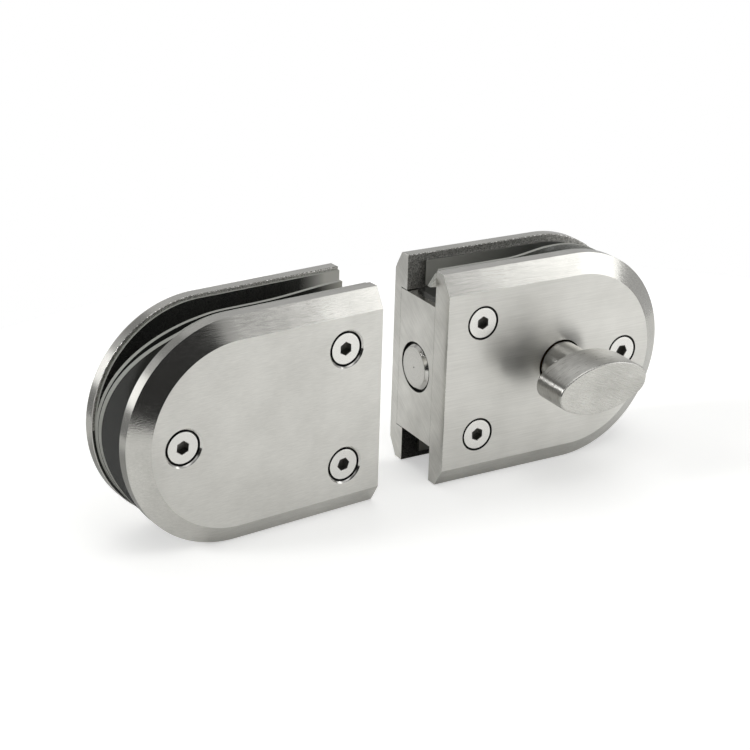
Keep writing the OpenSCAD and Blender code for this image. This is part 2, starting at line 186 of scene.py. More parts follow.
@dataclass(frozen=True)
class BrushedSteel(Finish):
    """Stainless steel 304, brushed with an abrasive belt.

    The belt leaves fine parallel scratches, so that the face is satin and shows what stands round it as a soft blur.
    Its lines are hardly lighter or darker than each other, and its tone drifts a little from place to place.
    """

    colour: str = "#cfcec9"
    shade: str = "#bab9b4"
    roughness: float = 0.27
    roughness_spread: float = 0.03
    # Scratches spread the gloss across themselves
    spread_across: float = 0.0
    lay: Lay = Lay.ALONG
    # A belt of grit 180 leaves lines of about 0.1 mm, drawn three times as wide because that is too fine to show
    line_mm: float = 0.3
    line_length_mm: float = 12.0
    line_depth_mm: float = 0.0018
    patch_mm: float = 14.0

    def pattern(self, tree: bpy.types.NodeTree, place: bpy.types.NodeSocket) -> dict[str, object]:
        """Draws the scratches and the drift of the tone.

        Args:
            tree: The material's node tree.
            place: Each point's place in the row frame at rest, in metres.

        Returns:
            What goes into the shader's sockets.
        """
        rotation, long_axes, across = self.lay.value
        turned = add_node(tree, "Mapping", {"Vector": place, "Rotation": rotation})
        scale = [1 / ((self.line_length_mm if is_long else self.line_mm) * MM) for is_long in long_axes]
        stretched = add_node(tree, "Mapping", {"Vector": turned, "Scale": scale})
        lines = add_node(tree, "TexNoise", {"Vector": stretched, "Scale": 1.0, "Detail": 3.0, "Roughness": 0.6})
        patches = add_node(tree, "TexNoise", {"Vector": place, "Scale": 1 / (self.patch_mm * MM), "Detail": 3.0})
        both = add_node(tree, "Mix", {"Factor": 0.5, "A": lines, "B": patches})
        tone = add_node(tree, "MapRange", {"Value": both, "From Min": 0.35, "From Max": 0.65})
        tones = {"Factor": tone, "A": linear(self.shade), "B": linear(self.colour)}
        gloss = {"Value": lines, "From Min": 0.3, "From Max": 0.7}
        gloss |= {"To Min": self.roughness - self.roughness_spread, "To Max": self.roughness + self.roughness_spread}
        relief = {"Height": lines, "Strength": 1.0, "Distance": self.line_depth_mm * MM}
        sockets = {
            "Base Color": add_node(tree, "Mix", tones, data_type="RGBA"),
            "Roughness": add_node(tree, "MapRange", gloss),
            "Normal": add_node(tree, "Bump", relief),
            "Anisotropic": self.spread_across,
        }
        if self.spread_across:
            sockets["Tangent"] = add_node(tree, "CombineXYZ", dict(enumerate(across)))
        return sockets


@dataclass(frozen=True)
class GrainySteel(Finish):
    """Stainless steel with an even grain, whose own class says how it was made."""

    colour: str
    shade: str
    roughness: float
    grain_mm: float
    grain_depth_mm: float
    # Heights of the grain between which its tone goes from the shade to the colour, if not from lowest to highest
    tone_span: Point2 | None = None
    detail: float = 2.0
    fineness: float = 0.5
    relief: float = 1.0

    def pattern(self, tree: bpy.types.NodeTree, place: bpy.types.NodeSocket) -> dict[str, object]:
        """Draws the grain.

        Args:
            tree: The material's node tree.
            place: Each point's place in the row frame at rest, in metres.

        Returns:
            What goes into the shader's sockets.
        """
        noise = {"Scale": 1 / (self.grain_mm * MM), "Detail": self.detail, "Roughness": self.fineness}
        grain = add_node(tree, "TexNoise", {"Vector": place, **noise})
        tone = grain
        if self.tone_span:
            low, high = self.tone_span
            tone = add_node(tree, "MapRange", {"Value": grain, "From Min": low, "From Max": high})
        tones = {"Factor": tone, "A": linear(self.shade), "B": linear(self.colour)}
        relief = {"Height": grain, "Strength": self.relief, "Distance": self.grain_depth_mm * MM}
        return {
            "Base Color": add_node(tree, "Mix", tones, data_type="RGBA"),
            "Roughness": self.roughness,
            "Normal": add_node(tree, "Bump", relief),
        }


@dataclass(frozen=True)
class BurrGlintSteel(GrainySteel):
    """The sharp edge that the belt leaves on stainless steel.

    Its tiny bent flakes are drawn as a bump, with painted glints as white dots beside a dark line of painted shade.
    """

    colour: str = "#f2f1ee"
    shade: str = "#8f8e88"
    roughness: float = 0.2
    # Flakes of 0.2 to 0.5 mm, drawn at 0.7 mm because they are too fine to show
    grain_mm: float = 0.7
    grain_depth_mm: float = 0.18
    tone_span: Point2 = (0.5, 0.62)


@dataclass(frozen=True)
class TurnedSteel(GrainySteel):
    """Stainless steel turned on a lathe.

    The tool leaves fine marks and a brighter, smoother skin than the belt does.
    """

    colour: str = "#d8d7d3"
    shade: str = "#cbcac6"
    roughness: float = 0.22
    # Feed marks of about 0.1 mm, drawn three times as wide because they are too fine to show
    grain_mm: float = 0.3
    grain_depth_mm: float = 0.003


@dataclass(frozen=True)
class CastSteel(GrainySteel):
    """Stainless steel as it comes from an investment casting.

    The skin is dull and pitted like fine sandpaper, so that it stays dark in the slot between the plates.
    """

    colour: str = "#dddcd7"
    shade: str = "#8a8985"
    roughness: float = 0.5
    # Pits of 0.1 to 0.3 mm, drawn at 0.45 mm because they are too fine to show
    grain_mm: float = 0.45
    grain_depth_mm: float = 0.12
    tone_span: Point2 = (0.35, 0.65)
    detail: float = 3.0
    fineness: float = 0.65
    relief: float = 0.7


@dataclass(frozen=True)
class FacedSteel(Finish):
    """Stainless steel faced on a lathe, as on the nose of the bolt.

    The tool runs in rings round the centre, where the face is smoother and lighter.
    """

    centre: Point3
    colour: str = "#d9d8d4"
    shade: str = "#c3c2bd"
    roughness: float = 0.25
    # Feed marks of about 0.15 mm, drawn four times as wide because they are too fine to show
    ring_mm: float = 0.6
    ring_depth_mm: float = 0.01
    smooth_r: float = 5.5
    rim_r: float = 8.0

    def pattern(self, tree: bpy.types.NodeTree, place: bpy.types.NodeSocket) -> dict[str, object]:
        """Draws the rings.

        Args:
            tree: The material's node tree.
            place: Each point's place in the row frame at rest, in metres.

        Returns:
            What goes into the shader's sockets.
        """
        away = add_node(tree, "VectorMath", {0: place, 1: self.centre}, operation="SUBTRACT")
        flat = add_node(tree, "VectorMath", {0: away, 1: (0, 1, 1)}, operation="MULTIPLY")
        radius = add_node(tree, "VectorMath", {0: flat}, operation="LENGTH")
        noise = {"W": radius, "Scale": 1 / (self.ring_mm * MM), "Detail": 2.0}
        rings = add_node(tree, "TexNoise", noise, noise_dimensions="1D")
        span = {"Value": radius, "From Min": self.smooth_r * MM, "From Max": self.rim_r * MM}
        bright, dim = linear(self.colour), linear(self.shade)
        inner = add_node(tree, "Mix", {"Factor": rings, "A": bright, "B": dim}, data_type="RGBA")
        tones = {"Factor": add_node(tree, "MapRange", span), "A": inner, "B": dim}
        relief = {"Height": rings, "Strength": 1.0, "Distance": self.ring_depth_mm * MM}
        return {
            "Base Color": add_node(tree, "Mix", tones, data_type="RGBA"),
            "Roughness": self.roughness,
            "Normal": add_node(tree, "Bump", relief),
        }


@dataclass(frozen=True)
class ClearPvc(Finish):
    """Soft clear PVC sheet, as it is cut from the roll for glass clamps.

    Its faces are glossy and let the dark slot show through. Its cut edges are matt and milky, and look pale. An end
    may also be drawn pale as painted light, where light reaches it past the slot.
    """

    colour: str = "#a9aba4"
    roughness: float = 0.25
    clearness: float = 0.85
    # Where the sheet turns pale along X of the row frame as painted light, in millimetres, and what it turns to
    painted_light_span: Point2 | None = None
    painted_light_colour: str = "#d6d5cd"
    painted_light_clearness: float = 0.2
    # The sheet keeps a wave from the roll
    wave_mm: float = 9.0
    wave_depth_mm: float = 0.25

    def pattern(self, tree: bpy.types.NodeTree, place: bpy.types.NodeSocket) -> dict[str, object]:
        """Draws the sheet's wave and the painted light of its pale end.

        Args:
            tree: The material's node tree.
            place: Each point's place in the row frame at rest, in metres.

        Returns:
            What goes into the shader's sockets.
        """
        wave = add_node(tree, "TexNoise", {"Vector": place, "Scale": 1 / (self.wave_mm * MM), "Detail": 2.0})
        relief = {"Height": wave, "Strength": 0.5, "Distance": self.wave_depth_mm * MM}
        sockets = {
            "Base Color": linear(self.colour),
            "Metallic": 0.0,
            "Roughness": self.roughness,
            "IOR": 1.53,
            "Transmission Weight": self.clearness,
            "Normal": add_node(tree, "Bump", relief),
        }
        if self.painted_light_span:
            start, end = (x * MM for x in self.painted_light_span)
            x = add_node(tree, "SeparateXYZ", {0: place}).outputs["X"]
            pale = add_node(tree, "MapRange", {"Value": x, "From Min": start, "From Max": end})
            tones = {"Factor": pale, "A": linear(self.colour), "B": linear(self.painted_light_colour)}
            cloud = {"Value": pale, "To Min": self.clearness, "To Max": self.painted_light_clearness}
            sockets["Base Color"] = add_node(tree, "Mix", tones, data_type="RGBA")
            sockets["Transmission Weight"] = add_node(tree, "MapRange", cloud)
        return sockets


@dataclass(frozen=True)
class PlainFinish(Finish):
    """A plain drilled, drawn or moulded surface: a screw recess in painted shade, sintered bronze or nylon.

    Its fine grain only breaks up the gloss and the tone.
    """

    colour: str
    roughness: float
    metallic: float
    grain_mm: float = 0.5
    # Share by which the grain changes the gloss, and the tone of its dim parts
    spread: float = 0.2
    dimness: float = 0.8

    def pattern(self, tree: bpy.types.NodeTree, place: bpy.types.NodeSocket) -> dict[str, object]:
        """Draws the grain.

        Args:
            tree: The material's node tree.
            place: Each point's place in the row frame at rest, in metres.

        Returns:
            What goes into the shader's sockets.
        """
        grain = add_node(tree, "TexNoise", {"Vector": place, "Scale": 1 / (self.grain_mm * MM), "Detail": 2.0})
        smooth, rough = (self.roughness * (1 + side * self.spread) for side in (-1, 1))
        bright = linear(self.colour)
        dim = (*(c * self.dimness for c in bright[:3]), 1.0)
        return {
            "Base Color": add_node(tree, "Mix", {"Factor": grain, "A": dim, "B": bright}, data_type="RGBA"),
            "Metallic": self.metallic,
            "Roughness": add_node(tree, "MapRange", {"Value": grain, "To Min": smooth, "To Max": rough}),
        }


class Draft:
    """Points and faces of a piece, in the axes of its half, before they become a mesh."""

    def __init__(self) -> None:
        """Starts with nothing drawn."""
        self.points: list[Vector] = []
        self.faces: list[tuple[tuple[int, ...], Material]] = []

    def loop(self, points: Sequence[Sequence[float]]) -> list[int]:
        """Adds points.

        Args:
            points: Points as x, y and z in millimetres.

        Returns:
            Their indices.
        """
        first = len(self.points)
        self.points.extend(Vector(p) for p in points)
        return list(range(first, len(self.points)))

    def skin(self, rows: Sequence[Sequence[int]], finish: Material, closed: bool = True) -> None:
        """Joins each row of points to the next by four-sided faces.

        Args:
            rows: Indices of each row, all of the same length.
            finish: The faces' material.
            closed: Whether the rows run round.
        """
        for one, other in zip(rows, rows[1:]):
            for i in range(len(one) if closed else len(one) - 1):
                j = (i + 1) % len(one)
                self.faces.append(((one[i], one[j], other[j], other[i]), finish))

    def turned(self, centre: Point2, levels: Sequence[Point2], finish: Material) -> list[list[int]]:
        """Draws a round surface whose axis runs from the front to the back.

        Args:
            centre: Its axis, as x and z.
            levels: Depth and radius of each ring.
            finish: The faces' material.

        Returns:
            The rings.
        """
        rings = [self.loop(at_depth(circle(centre, r), y)) for y, r in levels]
        self.skin(rings, finish)
        return rings

    def cap(self, outer: Sequence[int], finish: Material, holes: Sequence[Sequence[int]] = ()) -> None:
        """Fills a flat outline, which may have holes.

        Args:
            outer: Indices of the outline.
            finish: The faces' material.
            holes: Indices of each hole.
        """
        rings = [outer, *holes]
        flat = [i for ring in rings for i in ring]
        for corners in tessellate_polygon([[self.points[i] for i in ring] for ring in rings]):
            self.faces.append((tuple(flat[c] for c in corners), finish))

    def build(
        self,
        name: str,
        half: Half,
        finishes: Sequence[Material],
        rounding_mm: float = 0.0,
        stays_sharp: StaysSharp = lambda middle: False,
        edge_finish: EdgeFinish = lambda middle: None,
    ) -> bpy.types.Object:
        """Makes the object, in the row frame and in metres.

        Args:
            name: The piece's name.
            half: The half that it belongs to, which gives its place.
            finishes: The piece's materials. A rounded edge takes the one of its two that comes first.
            rounding_mm: How far its edges are rounded.
            stays_sharp: Says whether an edge isn't rounded.
            edge_finish: Gives the material of a rounded edge where it has its own.

        Returns:
            The new object.
        """
        shape = bmesh.new()
        corners = [shape.verts.new(p) for p in self.points]
        for indices, finish in self.faces:
            face = shape.faces.new([corners[i] for i in indices])
            face.material_index = finishes.index(finish)
        bmesh.ops.remove_doubles(shape, verts=shape.verts, dist=MERGE_MM)
        bmesh.ops.recalc_face_normals(shape, faces=shape.faces)
        if rounding_mm:
            for face in self.round_edges(shape, rounding_mm, stays_sharp):
                finish = edge_finish(face.calc_center_median())
                if finish is not None:
                    face.material_index = finishes.index(finish)
        shape.transform(half.place)
        bmesh.ops.recalc_face_normals(shape, faces=shape.faces)
        mesh = bpy.data.meshes.new(name)
        shape.to_mesh(mesh)
        shape.free()
        mesh.polygons.foreach_set("use_smooth", [True] * len(mesh.polygons))
        mesh.set_sharp_from_angle(angle=SHARP_ANGLE)
        for material in finishes:
            mesh.materials.append(material)
        piece = bpy.data.objects.new(name, mesh)
        bpy.context.scene.collection.objects.link(piece)
        normals = piece.modifiers.new("even_normals", "WEIGHTED_NORMAL")
        normals.keep_sharp = True
        return piece

    @staticmethod
    def round_edges(shape: bmesh.types.BMesh, radius: float, stays_sharp: StaysSharp) -> list[bmesh.types.BMFace]:
        """Rounds the edges at which two faces meet at an angle.

        Args:
            shape: The mesh in the half's axes.
            radius: How far each edge is rounded, in millimetres.
            stays_sharp: Says whether an edge isn't rounded.

        Returns:
            The rounding's faces.
        """
        flat, least = math.radians(0.3), math.radians(24)
        bmesh.ops.dissolve_limit(shape, angle_limit=flat, verts=shape.verts, edges=shape.edges, delimit={"MATERIAL"})
        edges = [
            e
            for e in shape.edges
            if len(e.link_faces) == 2
            and e.calc_face_angle(0.0) > least
            and not stays_sharp((e.verts[0].co + e.verts[1].co) / 2)
        ]
        made = bmesh.ops.bevel(
            shape, geom=edges, offset=radius, segments=3, profile=0.5, affect="EDGES", clamp_overlap=True
        )
        return made["faces"]


@dataclass(frozen=True)
class Axle:
    """Where the knob's axis goes through the lock half, and the hole for its bush, which is wider at the front."""

    at: Point2 = (46.4, 0.0)
    hole_r: float = 7.07
    mouth_r: float = 8.6


@dataclass
class Half:
    """One half of the lock: where it stands and the sizes that its pieces share."""

    name: str
    origin: Vector
    turn: float
    mirrored: bool
    plate_t: float
    depth: float
    width: float
    height: float
    axle: Axle | None = None
    grip: float = 12.5
    screw_edge: float = 13.75
    screw_inset: float = 5.0
    head_sink: float = 0.05
    recess_mouth: float = 0.0
    # How deep the block sits in the back plate, and how much deeper the screws' holes go
    seat_depth: float = 3.8
    thread_depth: float = 3.1

    @property
    def place(self) -> Matrix:
        """Turns the half's axes in millimetres into the row frame in metres."""
        side = Matrix.Scale(-1, 4, (1, 0, 0)) if self.mirrored else Matrix.Identity(4)
        turned = Matrix.Rotation(self.turn, 4, "Z") @ side
        return Matrix.Scale(MM, 4) @ Matrix.Translation(self.origin) @ turned

    @property
    def end_r(self) -> float:
        """Radius of the round end."""
        return self.height / 2

    @property
    def straight(self) -> float:
        """Length of the straight part."""
        return self.width - self.end_r

    @property
    def block_r(self) -> float:
        """Radius of the block's round end, which is half its height."""
        return self.end_r - self.grip

    @property
    def back_y(self) -> float:
        """Depth of the back plate's inner face."""
        return self.depth - self.plate_t

    @property
    def seat_y(self) -> float:
        """Depth of the floor on which the block sits."""
        return self.back_y + self.seat_depth

    @property
    def screw_places(self) -> dict[str, Point2]:
        """Where the screws are, by name, as distance from the straight edge and height."""
        side = self.block_r - self.screw_inset
        places = {"top": (self.screw_edge, side), "bottom": (self.screw_edge, -side)}
        return places | {"end": (self.straight + side, 0.0)}

    def path(self, radius: float, start: float = 0.0) -> list[Point2]:
        """Draws the open outline of a half from its lower left, round the end, to its upper left.

        Args:
            radius: Radius of the round end.
            start: Distance from the straight edge at which the outline starts.

        Returns:
            Points as distance from the straight edge and height.
        """
        side = [start + (self.straight - start) * i / SIDE_STEPS for i in range(SIDE_STEPS)]
        angles = [math.pi * i / ARC_STEPS for i in range(ARC_STEPS + 1)]
        arc = [(self.straight + radius * math.sin(a), -radius * math.cos(a)) for a in angles]
        return [(x, -radius) for x in side] + arc + [(x, radius) for x in reversed(side)]


def at_depth(points: Sequence[Point2], y: float) -> list[Point3]:
    """Puts points given as x and z at a depth."""
    return [(x, y, z) for x, z in points]


def at_length(points: Sequence[Point2], x: float) -> list[Point3]:
    """Puts points given as y and z at a distance from the straight edge."""
    return [(x, y, z) for y, z in points]


def circle(centre: Point2, radius: float, steps: int = RING_STEPS, start: float = 0.0) -> list[Point2]:
    """Draws a circle.

    Args:
        centre: Its centre.
        radius: Its radius.
        steps: How many points it has.
        start: The angle of its first point.

    Returns:
        Its points.
    """
    angles = [start + 2 * math.pi * i / steps for i in range(steps)]
    return [(centre[0] + radius * math.cos(a), centre[1] + radius * math.sin(a)) for a in angles]


class Finishes:
    """Every material of the lock, built once."""

    def __init__(self, bolt_centre: Point3, keeper_side_x: float) -> None:
        """Builds the materials.

        Args:
            bolt_centre: Middle of the bolt's nose in the row frame, in metres.
            keeper_side_x: The keeper half's straight side, as X of the row frame in millimetres.
        """
        # Brushed along the half: satin, with the lights drawn out across the lines
        self.face = BrushedSteel(
            "satin_steel_face", colour="#dcdbd6", shade="#cbcac5", roughness=0.32, spread_across=0.83
        ).build()
        # The bevel's deeper lines, drawn at 0.4 mm, break its light into streaks
        self.bevel = BrushedSteel(
            "satin_steel_bevel", roughness=0.17, line_mm=0.4, line_length_mm=9.0, line_depth_mm=0.02
        ).build()
        # The rim is rubbed smoother and shows the floor more clearly
        self.rim = BrushedSteel("satin_steel_rim", roughness=0.2).build()
        # Ground askew, so that its lines run down the straight side
        self.edge = BrushedSteel(
            "ground_steel_edge",
            colour="#e2e1dc",
            shade="#c8c7c2",
            roughness=0.32,
            lay=Lay.DOWN_THE_EDGE,
            line_length_mm=9.0,
            line_depth_mm=0.006,
            patch_mm=8.0,
        ).build()
        # The burr's white dots and dark line are painted glints and painted shade
        self.burr = BurrGlintSteel("burred_steel_edge_painted_glints").build()
        self.inner = CastSteel("cast_steel_inside").build()
        # Painted shade: the lower half of the slot's inner face is drawn dark, where shade falls in it
        self.inner_painted_shade = CastSteel("cast_steel_inside_painted_shade", colour="#5a5a57", shade="#2c2c2b").build()
        # Painted shade: the recesses, bores, pocket and centre mark are drawn nearly black, and the sockets dark grey,
        # where shade falls in them
        self.recess = PlainFinish("drilled_steel_painted_shade", "#2f2f2e", 0.4, 1.0).build()
        self.socket = PlainFinish("broached_steel_painted_shade", "#94938f", 0.35, 1.0).build()
        # Chamfered by a cutter: a thin bright ring round each recess
        self.mouth = TurnedSteel("turned_steel_mouth", roughness=0.16).build()
        # The screws' heads are turned, and paler than the plates
        self.screw = TurnedSteel("turned_steel_screw", colour="#eae9e5", shade="#dfdeda", roughness=0.25).build()
        self.bolt_face = FacedSteel("faced_steel_bolt", bolt_centre).build()
        # Turned smooth, so that it mirrors the room in bands
        self.bolt_side = TurnedSteel("turned_steel_bolt", roughness=0.14).build()
        # Brushed askew, with deeper lines than the plates have, drawn at 0.35 mm
        self.knob_face = BrushedSteel(
            "satin_steel_knob",
            shade="#b0afaa",
            lay=Lay.ACROSS_THE_KNOB,
            line_mm=0.35,
            line_length_mm=5.0,
            line_depth_mm=0.01,
        ).build()
        # Milled round: the cutter's marks, drawn at 0.5 mm, draw the lights out across them
        self.knob_side = BrushedSteel(
            "milled_steel_knob",
            colour="#d2d1cd",
            shade="#a9a8a4",
            roughness=0.3,
            spread_across=0.95,
            lay=Lay.ROUND_THE_KNOB,
            line_mm=0.5,
            line_length_mm=3.0,
            line_depth_mm=0.03,
        ).build()
        # Turned with coarse marks, drawn at 0.7 mm, which do the same to the stem
        self.stem = BrushedSteel(
            "turned_steel_stem",
            roughness=0.3,
            spread_across=0.95,
            lay=Lay.ROUND_THE_KNOB,
            line_mm=0.7,
            line_depth_mm=0.06,
        ).build()
        # Painted shade: the knob's back, which faces the plate, and the grub screw's hole are drawn nearly black
        self.knob_back = PlainFinish("milled_steel_painted_shade", "#31302f", 0.35, 1.0).build()
        self.gasket = ClearPvc("clear_pvc").build()
        # Keeper half's sheets: dark as painted shade in the slot, pale as painted light within 8 mm of the straight
        # side
        keeper_span = (keeper_side_x - 18.0, keeper_side_x - 8.0)
        self.keeper_gasket = ClearPvc(
            "clear_pvc_painted_light_end", colour="#4b4c49", clearness=0.6, painted_light_span=keeper_span
        ).build()
        # Cut with a knife: matt and milky
        self.gasket_edge = ClearPvc("clear_pvc_cut_edge", colour="#a5a69f", roughness=0.5, clearness=0.2).build()
        # Dust dulls the sheet on the lock half's back plate. It is drawn dark as painted shade, and palest within 12 mm
        # of the straight side as painted light
        lock_side_x = bolt_centre[0] / MM
        self.dusty_gasket_painted_shade = ClearPvc(
            "dusty_pvc_painted_shade",
            colour="#62635f",
            roughness=0.4,
            clearness=0.3,
            painted_light_span=(lock_side_x + 48.0, lock_side_x + 12.0),
            painted_light_colour="#c4c4bc",
            painted_light_clearness=0.3,
        ).build()
        # Painted light: the corner is drawn near white, so that it stays pale where it stands in shade
        self.gasket_corner = ClearPvc("pvc_corner_painted_light", colour="#f4f3ec", roughness=0.4, clearness=0.1).build()
        # Extruded black strip: smooth and glossy
        self.liner = PlainFinish("black_soft_pvc", "#2b2b29", 0.2, 0.0).build()
        # Pressed from powder: an even, dull gold
        self.bronze = PlainFinish("sintered_bronze", "#b08d57", 0.35, 1.0).build()
        # Moulded without a dye: pale and satin
        self.nylon = PlainFinish("natural_nylon", "#e6e3d8", 0.45, 0.0).build()
        # Drawn bright through a die: smooth and grey
        self.spindle = PlainFinish("bright_steel_bar", "#9b9a96", 0.3, 1.0).build()


@dataclass
class Piece:
    """A piece of one half, which stands for a node of the frame."""

    half: Half
    finishes: Finishes
    node: str

    def make(self) -> bpy.types.Object:
        """Builds the piece.

        Returns:
            The new object.
        """
        raise NotImplementedError


@dataclass
class ClampPlate(Piece):
    """One plate of a half: a D with a wide bevel round its top, its round end and its bottom."""

    bevel_depth: float = 4.0
    bevel_width: float = 6.5
    rounding: float = 0.25

    def materials(self) -> list[Material]:
        """Lists the plate's finishes."""
        f = self.finishes
        return [f.face, f.bevel, f.rim, f.edge, f.inner, f.recess, f.mouth, f.burr, f.inner_painted_shade]

    def sides(self, draft: Draft, levels: Sequence[Point2]) -> list[list[int]]:
        """Draws the bevel and the rim.

        Args:
            draft: What they are added to.
            levels: Depth and inset of the outer face's edge, of the bevel's foot and of the inner face's edge.

        Returns:
            The three rows of points.
        """
        rows = [draft.loop(at_depth(self.half.path(self.half.end_r - inset), y)) for y, inset in levels]
        draft.skin(rows[:2], self.finishes.bevel, closed=False)
        draft.skin(rows[1:], self.finishes.rim, closed=False)
        return rows


@dataclass
class FrontPlate(ClampPlate):
    """Front plate, with its screw recesses and, on the lock half, the hole for the bush."""

    recess_r: float = 5.9
    recess_l: float = 1.2
    seat_r: float = 4.28
    hole_r: float = 3.3
    # How far the straight side falls back at the face, and at two depths behind it
    crown_drop: float = 0.2
    crown_steps: Sequence[Point2] = ((0.9, 0.09), (2.2, 0.02))
    # Round a hole's axis, every edge below the face that is nearer than this is the hole's own
    hole_reach: float = 7.9

    def crown(self, draft: Draft, rows: Sequence[Sequence[int]]) -> None:
        """Draws the straight side, which the belt has rounded a little towards the front.

        Args:
            draft: What it is added to.
            rows: The rows of points of the face's edge, of the bevel's foot and of the inner face's edge.
        """
        low, high = [rows[0][0]], [rows[0][-1]]
        for end in (low[0], high[0]):
            draft.points[end].x += self.crown_drop
        for y, drop in self.crown_steps:
            z = self.half.end_r - self.bevel_width * (1 - y / self.bevel_depth)
            under, over = draft.loop([(drop, y, -z), (drop, y, z)])
            low.append(under)
            high.append(over)
        low.append(rows[1][0])
        high.append(rows[1][-1])
        # The bevel's first and last face run up to the new points
        ends = [[rows[0][1], *low, rows[1][1]], [rows[0][-2], *high, rows[1][-2]]]
        plain_ends = [{end[0], end[1], end[-2], end[-1]} for end in ends]
        draft.faces = [face for face in draft.faces if set(face[0]) not in plain_ends]
        draft.faces.extend((tuple(end), self.finishes.bevel) for end in ends)
        draft.skin([low, high], self.finishes.edge, closed=False)
        draft.cap([rows[1][0], rows[2][0], rows[2][-1], rows[1][-1]], self.finishes.edge)

    def make(self) -> bpy.types.Object:
        """Builds the plate.

        Returns:
            The new object.
        """
        half, f = self.half, self.finishes
        inner, mouth = half.plate_t, half.recess_mouth
        draft = Draft()
        rows = self.sides(draft, [(0, self.bevel_width), (self.bevel_depth, 0), (inner, 0)])
        self.crown(draft, rows)
        seat_y = half.head_sink + self.recess_l
        levels = [(0.0, self.recess_r + mouth)] if mouth else []
        levels += [
            (mouth, self.recess_r),
            (seat_y, self.recess_r),
            (seat_y, self.seat_r),
            (seat_y + self.seat_r - self.hole_r, self.hole_r),
            (inner, self.hole_r),
        ]
        centres = list(half.screw_places.values())
        holes = []
        for centre in centres:
            rings = [draft.loop(at_depth(circle(centre, r), y)) for y, r in levels]
            draft.skin(rings[:2], f.mouth if mouth else f.recess)
            draft.skin(rings[1:], f.recess)
            holes.append(rings)
        if half.axle:
            wide, narrow = half.axle.mouth_r, half.axle.hole_r
            holes.append(draft.turned(half.axle.at, [(0, wide), (wide - narrow, narrow), (inner, narrow)], f.recess))
            centres.append(half.axle.at)
        draft.cap(rows[0], f.face, [rings[0] for rings in holes])
        draft.cap(rows[2], f.inner, [rings[-1] for rings in holes])

        def stays_sharp(p: Vector) -> bool:
            """Says whether an edge is on the inner face or deep in a hole."""
            in_hole = any(math.hypot(p.x - x, p.z - z) < self.hole_reach for x, z in centres)
            return p.y > inner - NEAR_MM or (in_hole and p.y > NEAR_MM)

        def edge_finish(p: Vector) -> Material | None:
            """Gives the upright edge between the face and the straight side its burr, drawn with painted glints."""
            return f.burr if p.x < self.rounding + self.crown_drop and p.y < self.rounding else None

        return draft.build(f"{self.node}_skin", half, self.materials(), self.rounding, stays_sharp, edge_finish)


@dataclass
class BackPlate(ClampPlate):
    """Back plate, with the seat that takes the block and the blind holes for the screws."""

    # The block sits loosely enough for a dark line to show round it
    seat_play: float = 0.3
    thread_r: float = 3.05
    # Edges this far inside the outline, or this far ahead of the outer face, belong to the seat and its holes
    rim_margin: float = 1.0
    face_margin: float = 0.5

    def make(self) -> bpy.types.Object:
        """Builds the plate.

        Returns:
            The new object.
        """
        half, f = self.half, self.finishes
        draft = Draft()
        levels = [(half.depth, self.bevel_width), (half.depth - self.bevel_depth, 0), (half.back_y, 0)]
        rows = self.sides(draft, levels)
        seat = half.path(half.block_r + self.seat_play)
        mouth, floor = (draft.loop(at_depth(seat, y)) for y in (half.back_y, half.seat_y))
        draft.skin([mouth, floor], f.inner, closed=False)
        tip = len(mouth) // 2
        # Painted shade: the lower half of the inner face takes the dark finish
        draft.cap(rows[2][: tip + 1] + mouth[tip::-1], f.inner_painted_shade)
        draft.cap(rows[2][tip:] + mouth[: tip - 1 : -1], f.inner)
        threads = []
        for centre in half.screw_places.values():
            depths = (half.seat_y, half.seat_y + half.thread_depth)
            near, far = draft.turned(centre, [(y, self.thread_r) for y in depths], f.recess)
            draft.cap(far, f.recess)
            threads.append(near)
        draft.cap(floor, f.inner, threads)
        draft.cap(rows[0], f.face)
        ends = [rows[0][0], rows[1][0], rows[2][0], mouth[0], floor[0]]
        tops = [floor[-1], mouth[-1], rows[2][-1], rows[1][-1], rows[0][-1]]
        draft.cap(ends + tops, f.edge)
        inside_r = half.end_r - self.rim_margin

        def stays_sharp(p: Vector) -> bool:
            """Says whether an edge belongs to the seat or its holes."""
            off_middle = math.hypot(max(p.x - half.straight, 0.0), p.z)
            return p.y < half.depth - self.face_margin and off_middle < inside_r

        def edge_finish(p: Vector) -> Material | None:
            """Gives the top edge of the inner face its burr, drawn with painted glints."""
            return f.burr if p.y < half.back_y + self.rounding and p.z > half.end_r / 2 else None

        return draft.build(f"{self.node}_skin", half, self.materials(), self.rounding, stays_sharp, edge_finish)


@dataclass(frozen=True)
class Pocket:
    """The lock block's pocket for the crank, open to the back plate, and the wall before it."""

    x0: float = 26.0
    x1: float = 59.5
    z0: float = -12.1
    z1: float = 14.55
    wall: float = 2.8


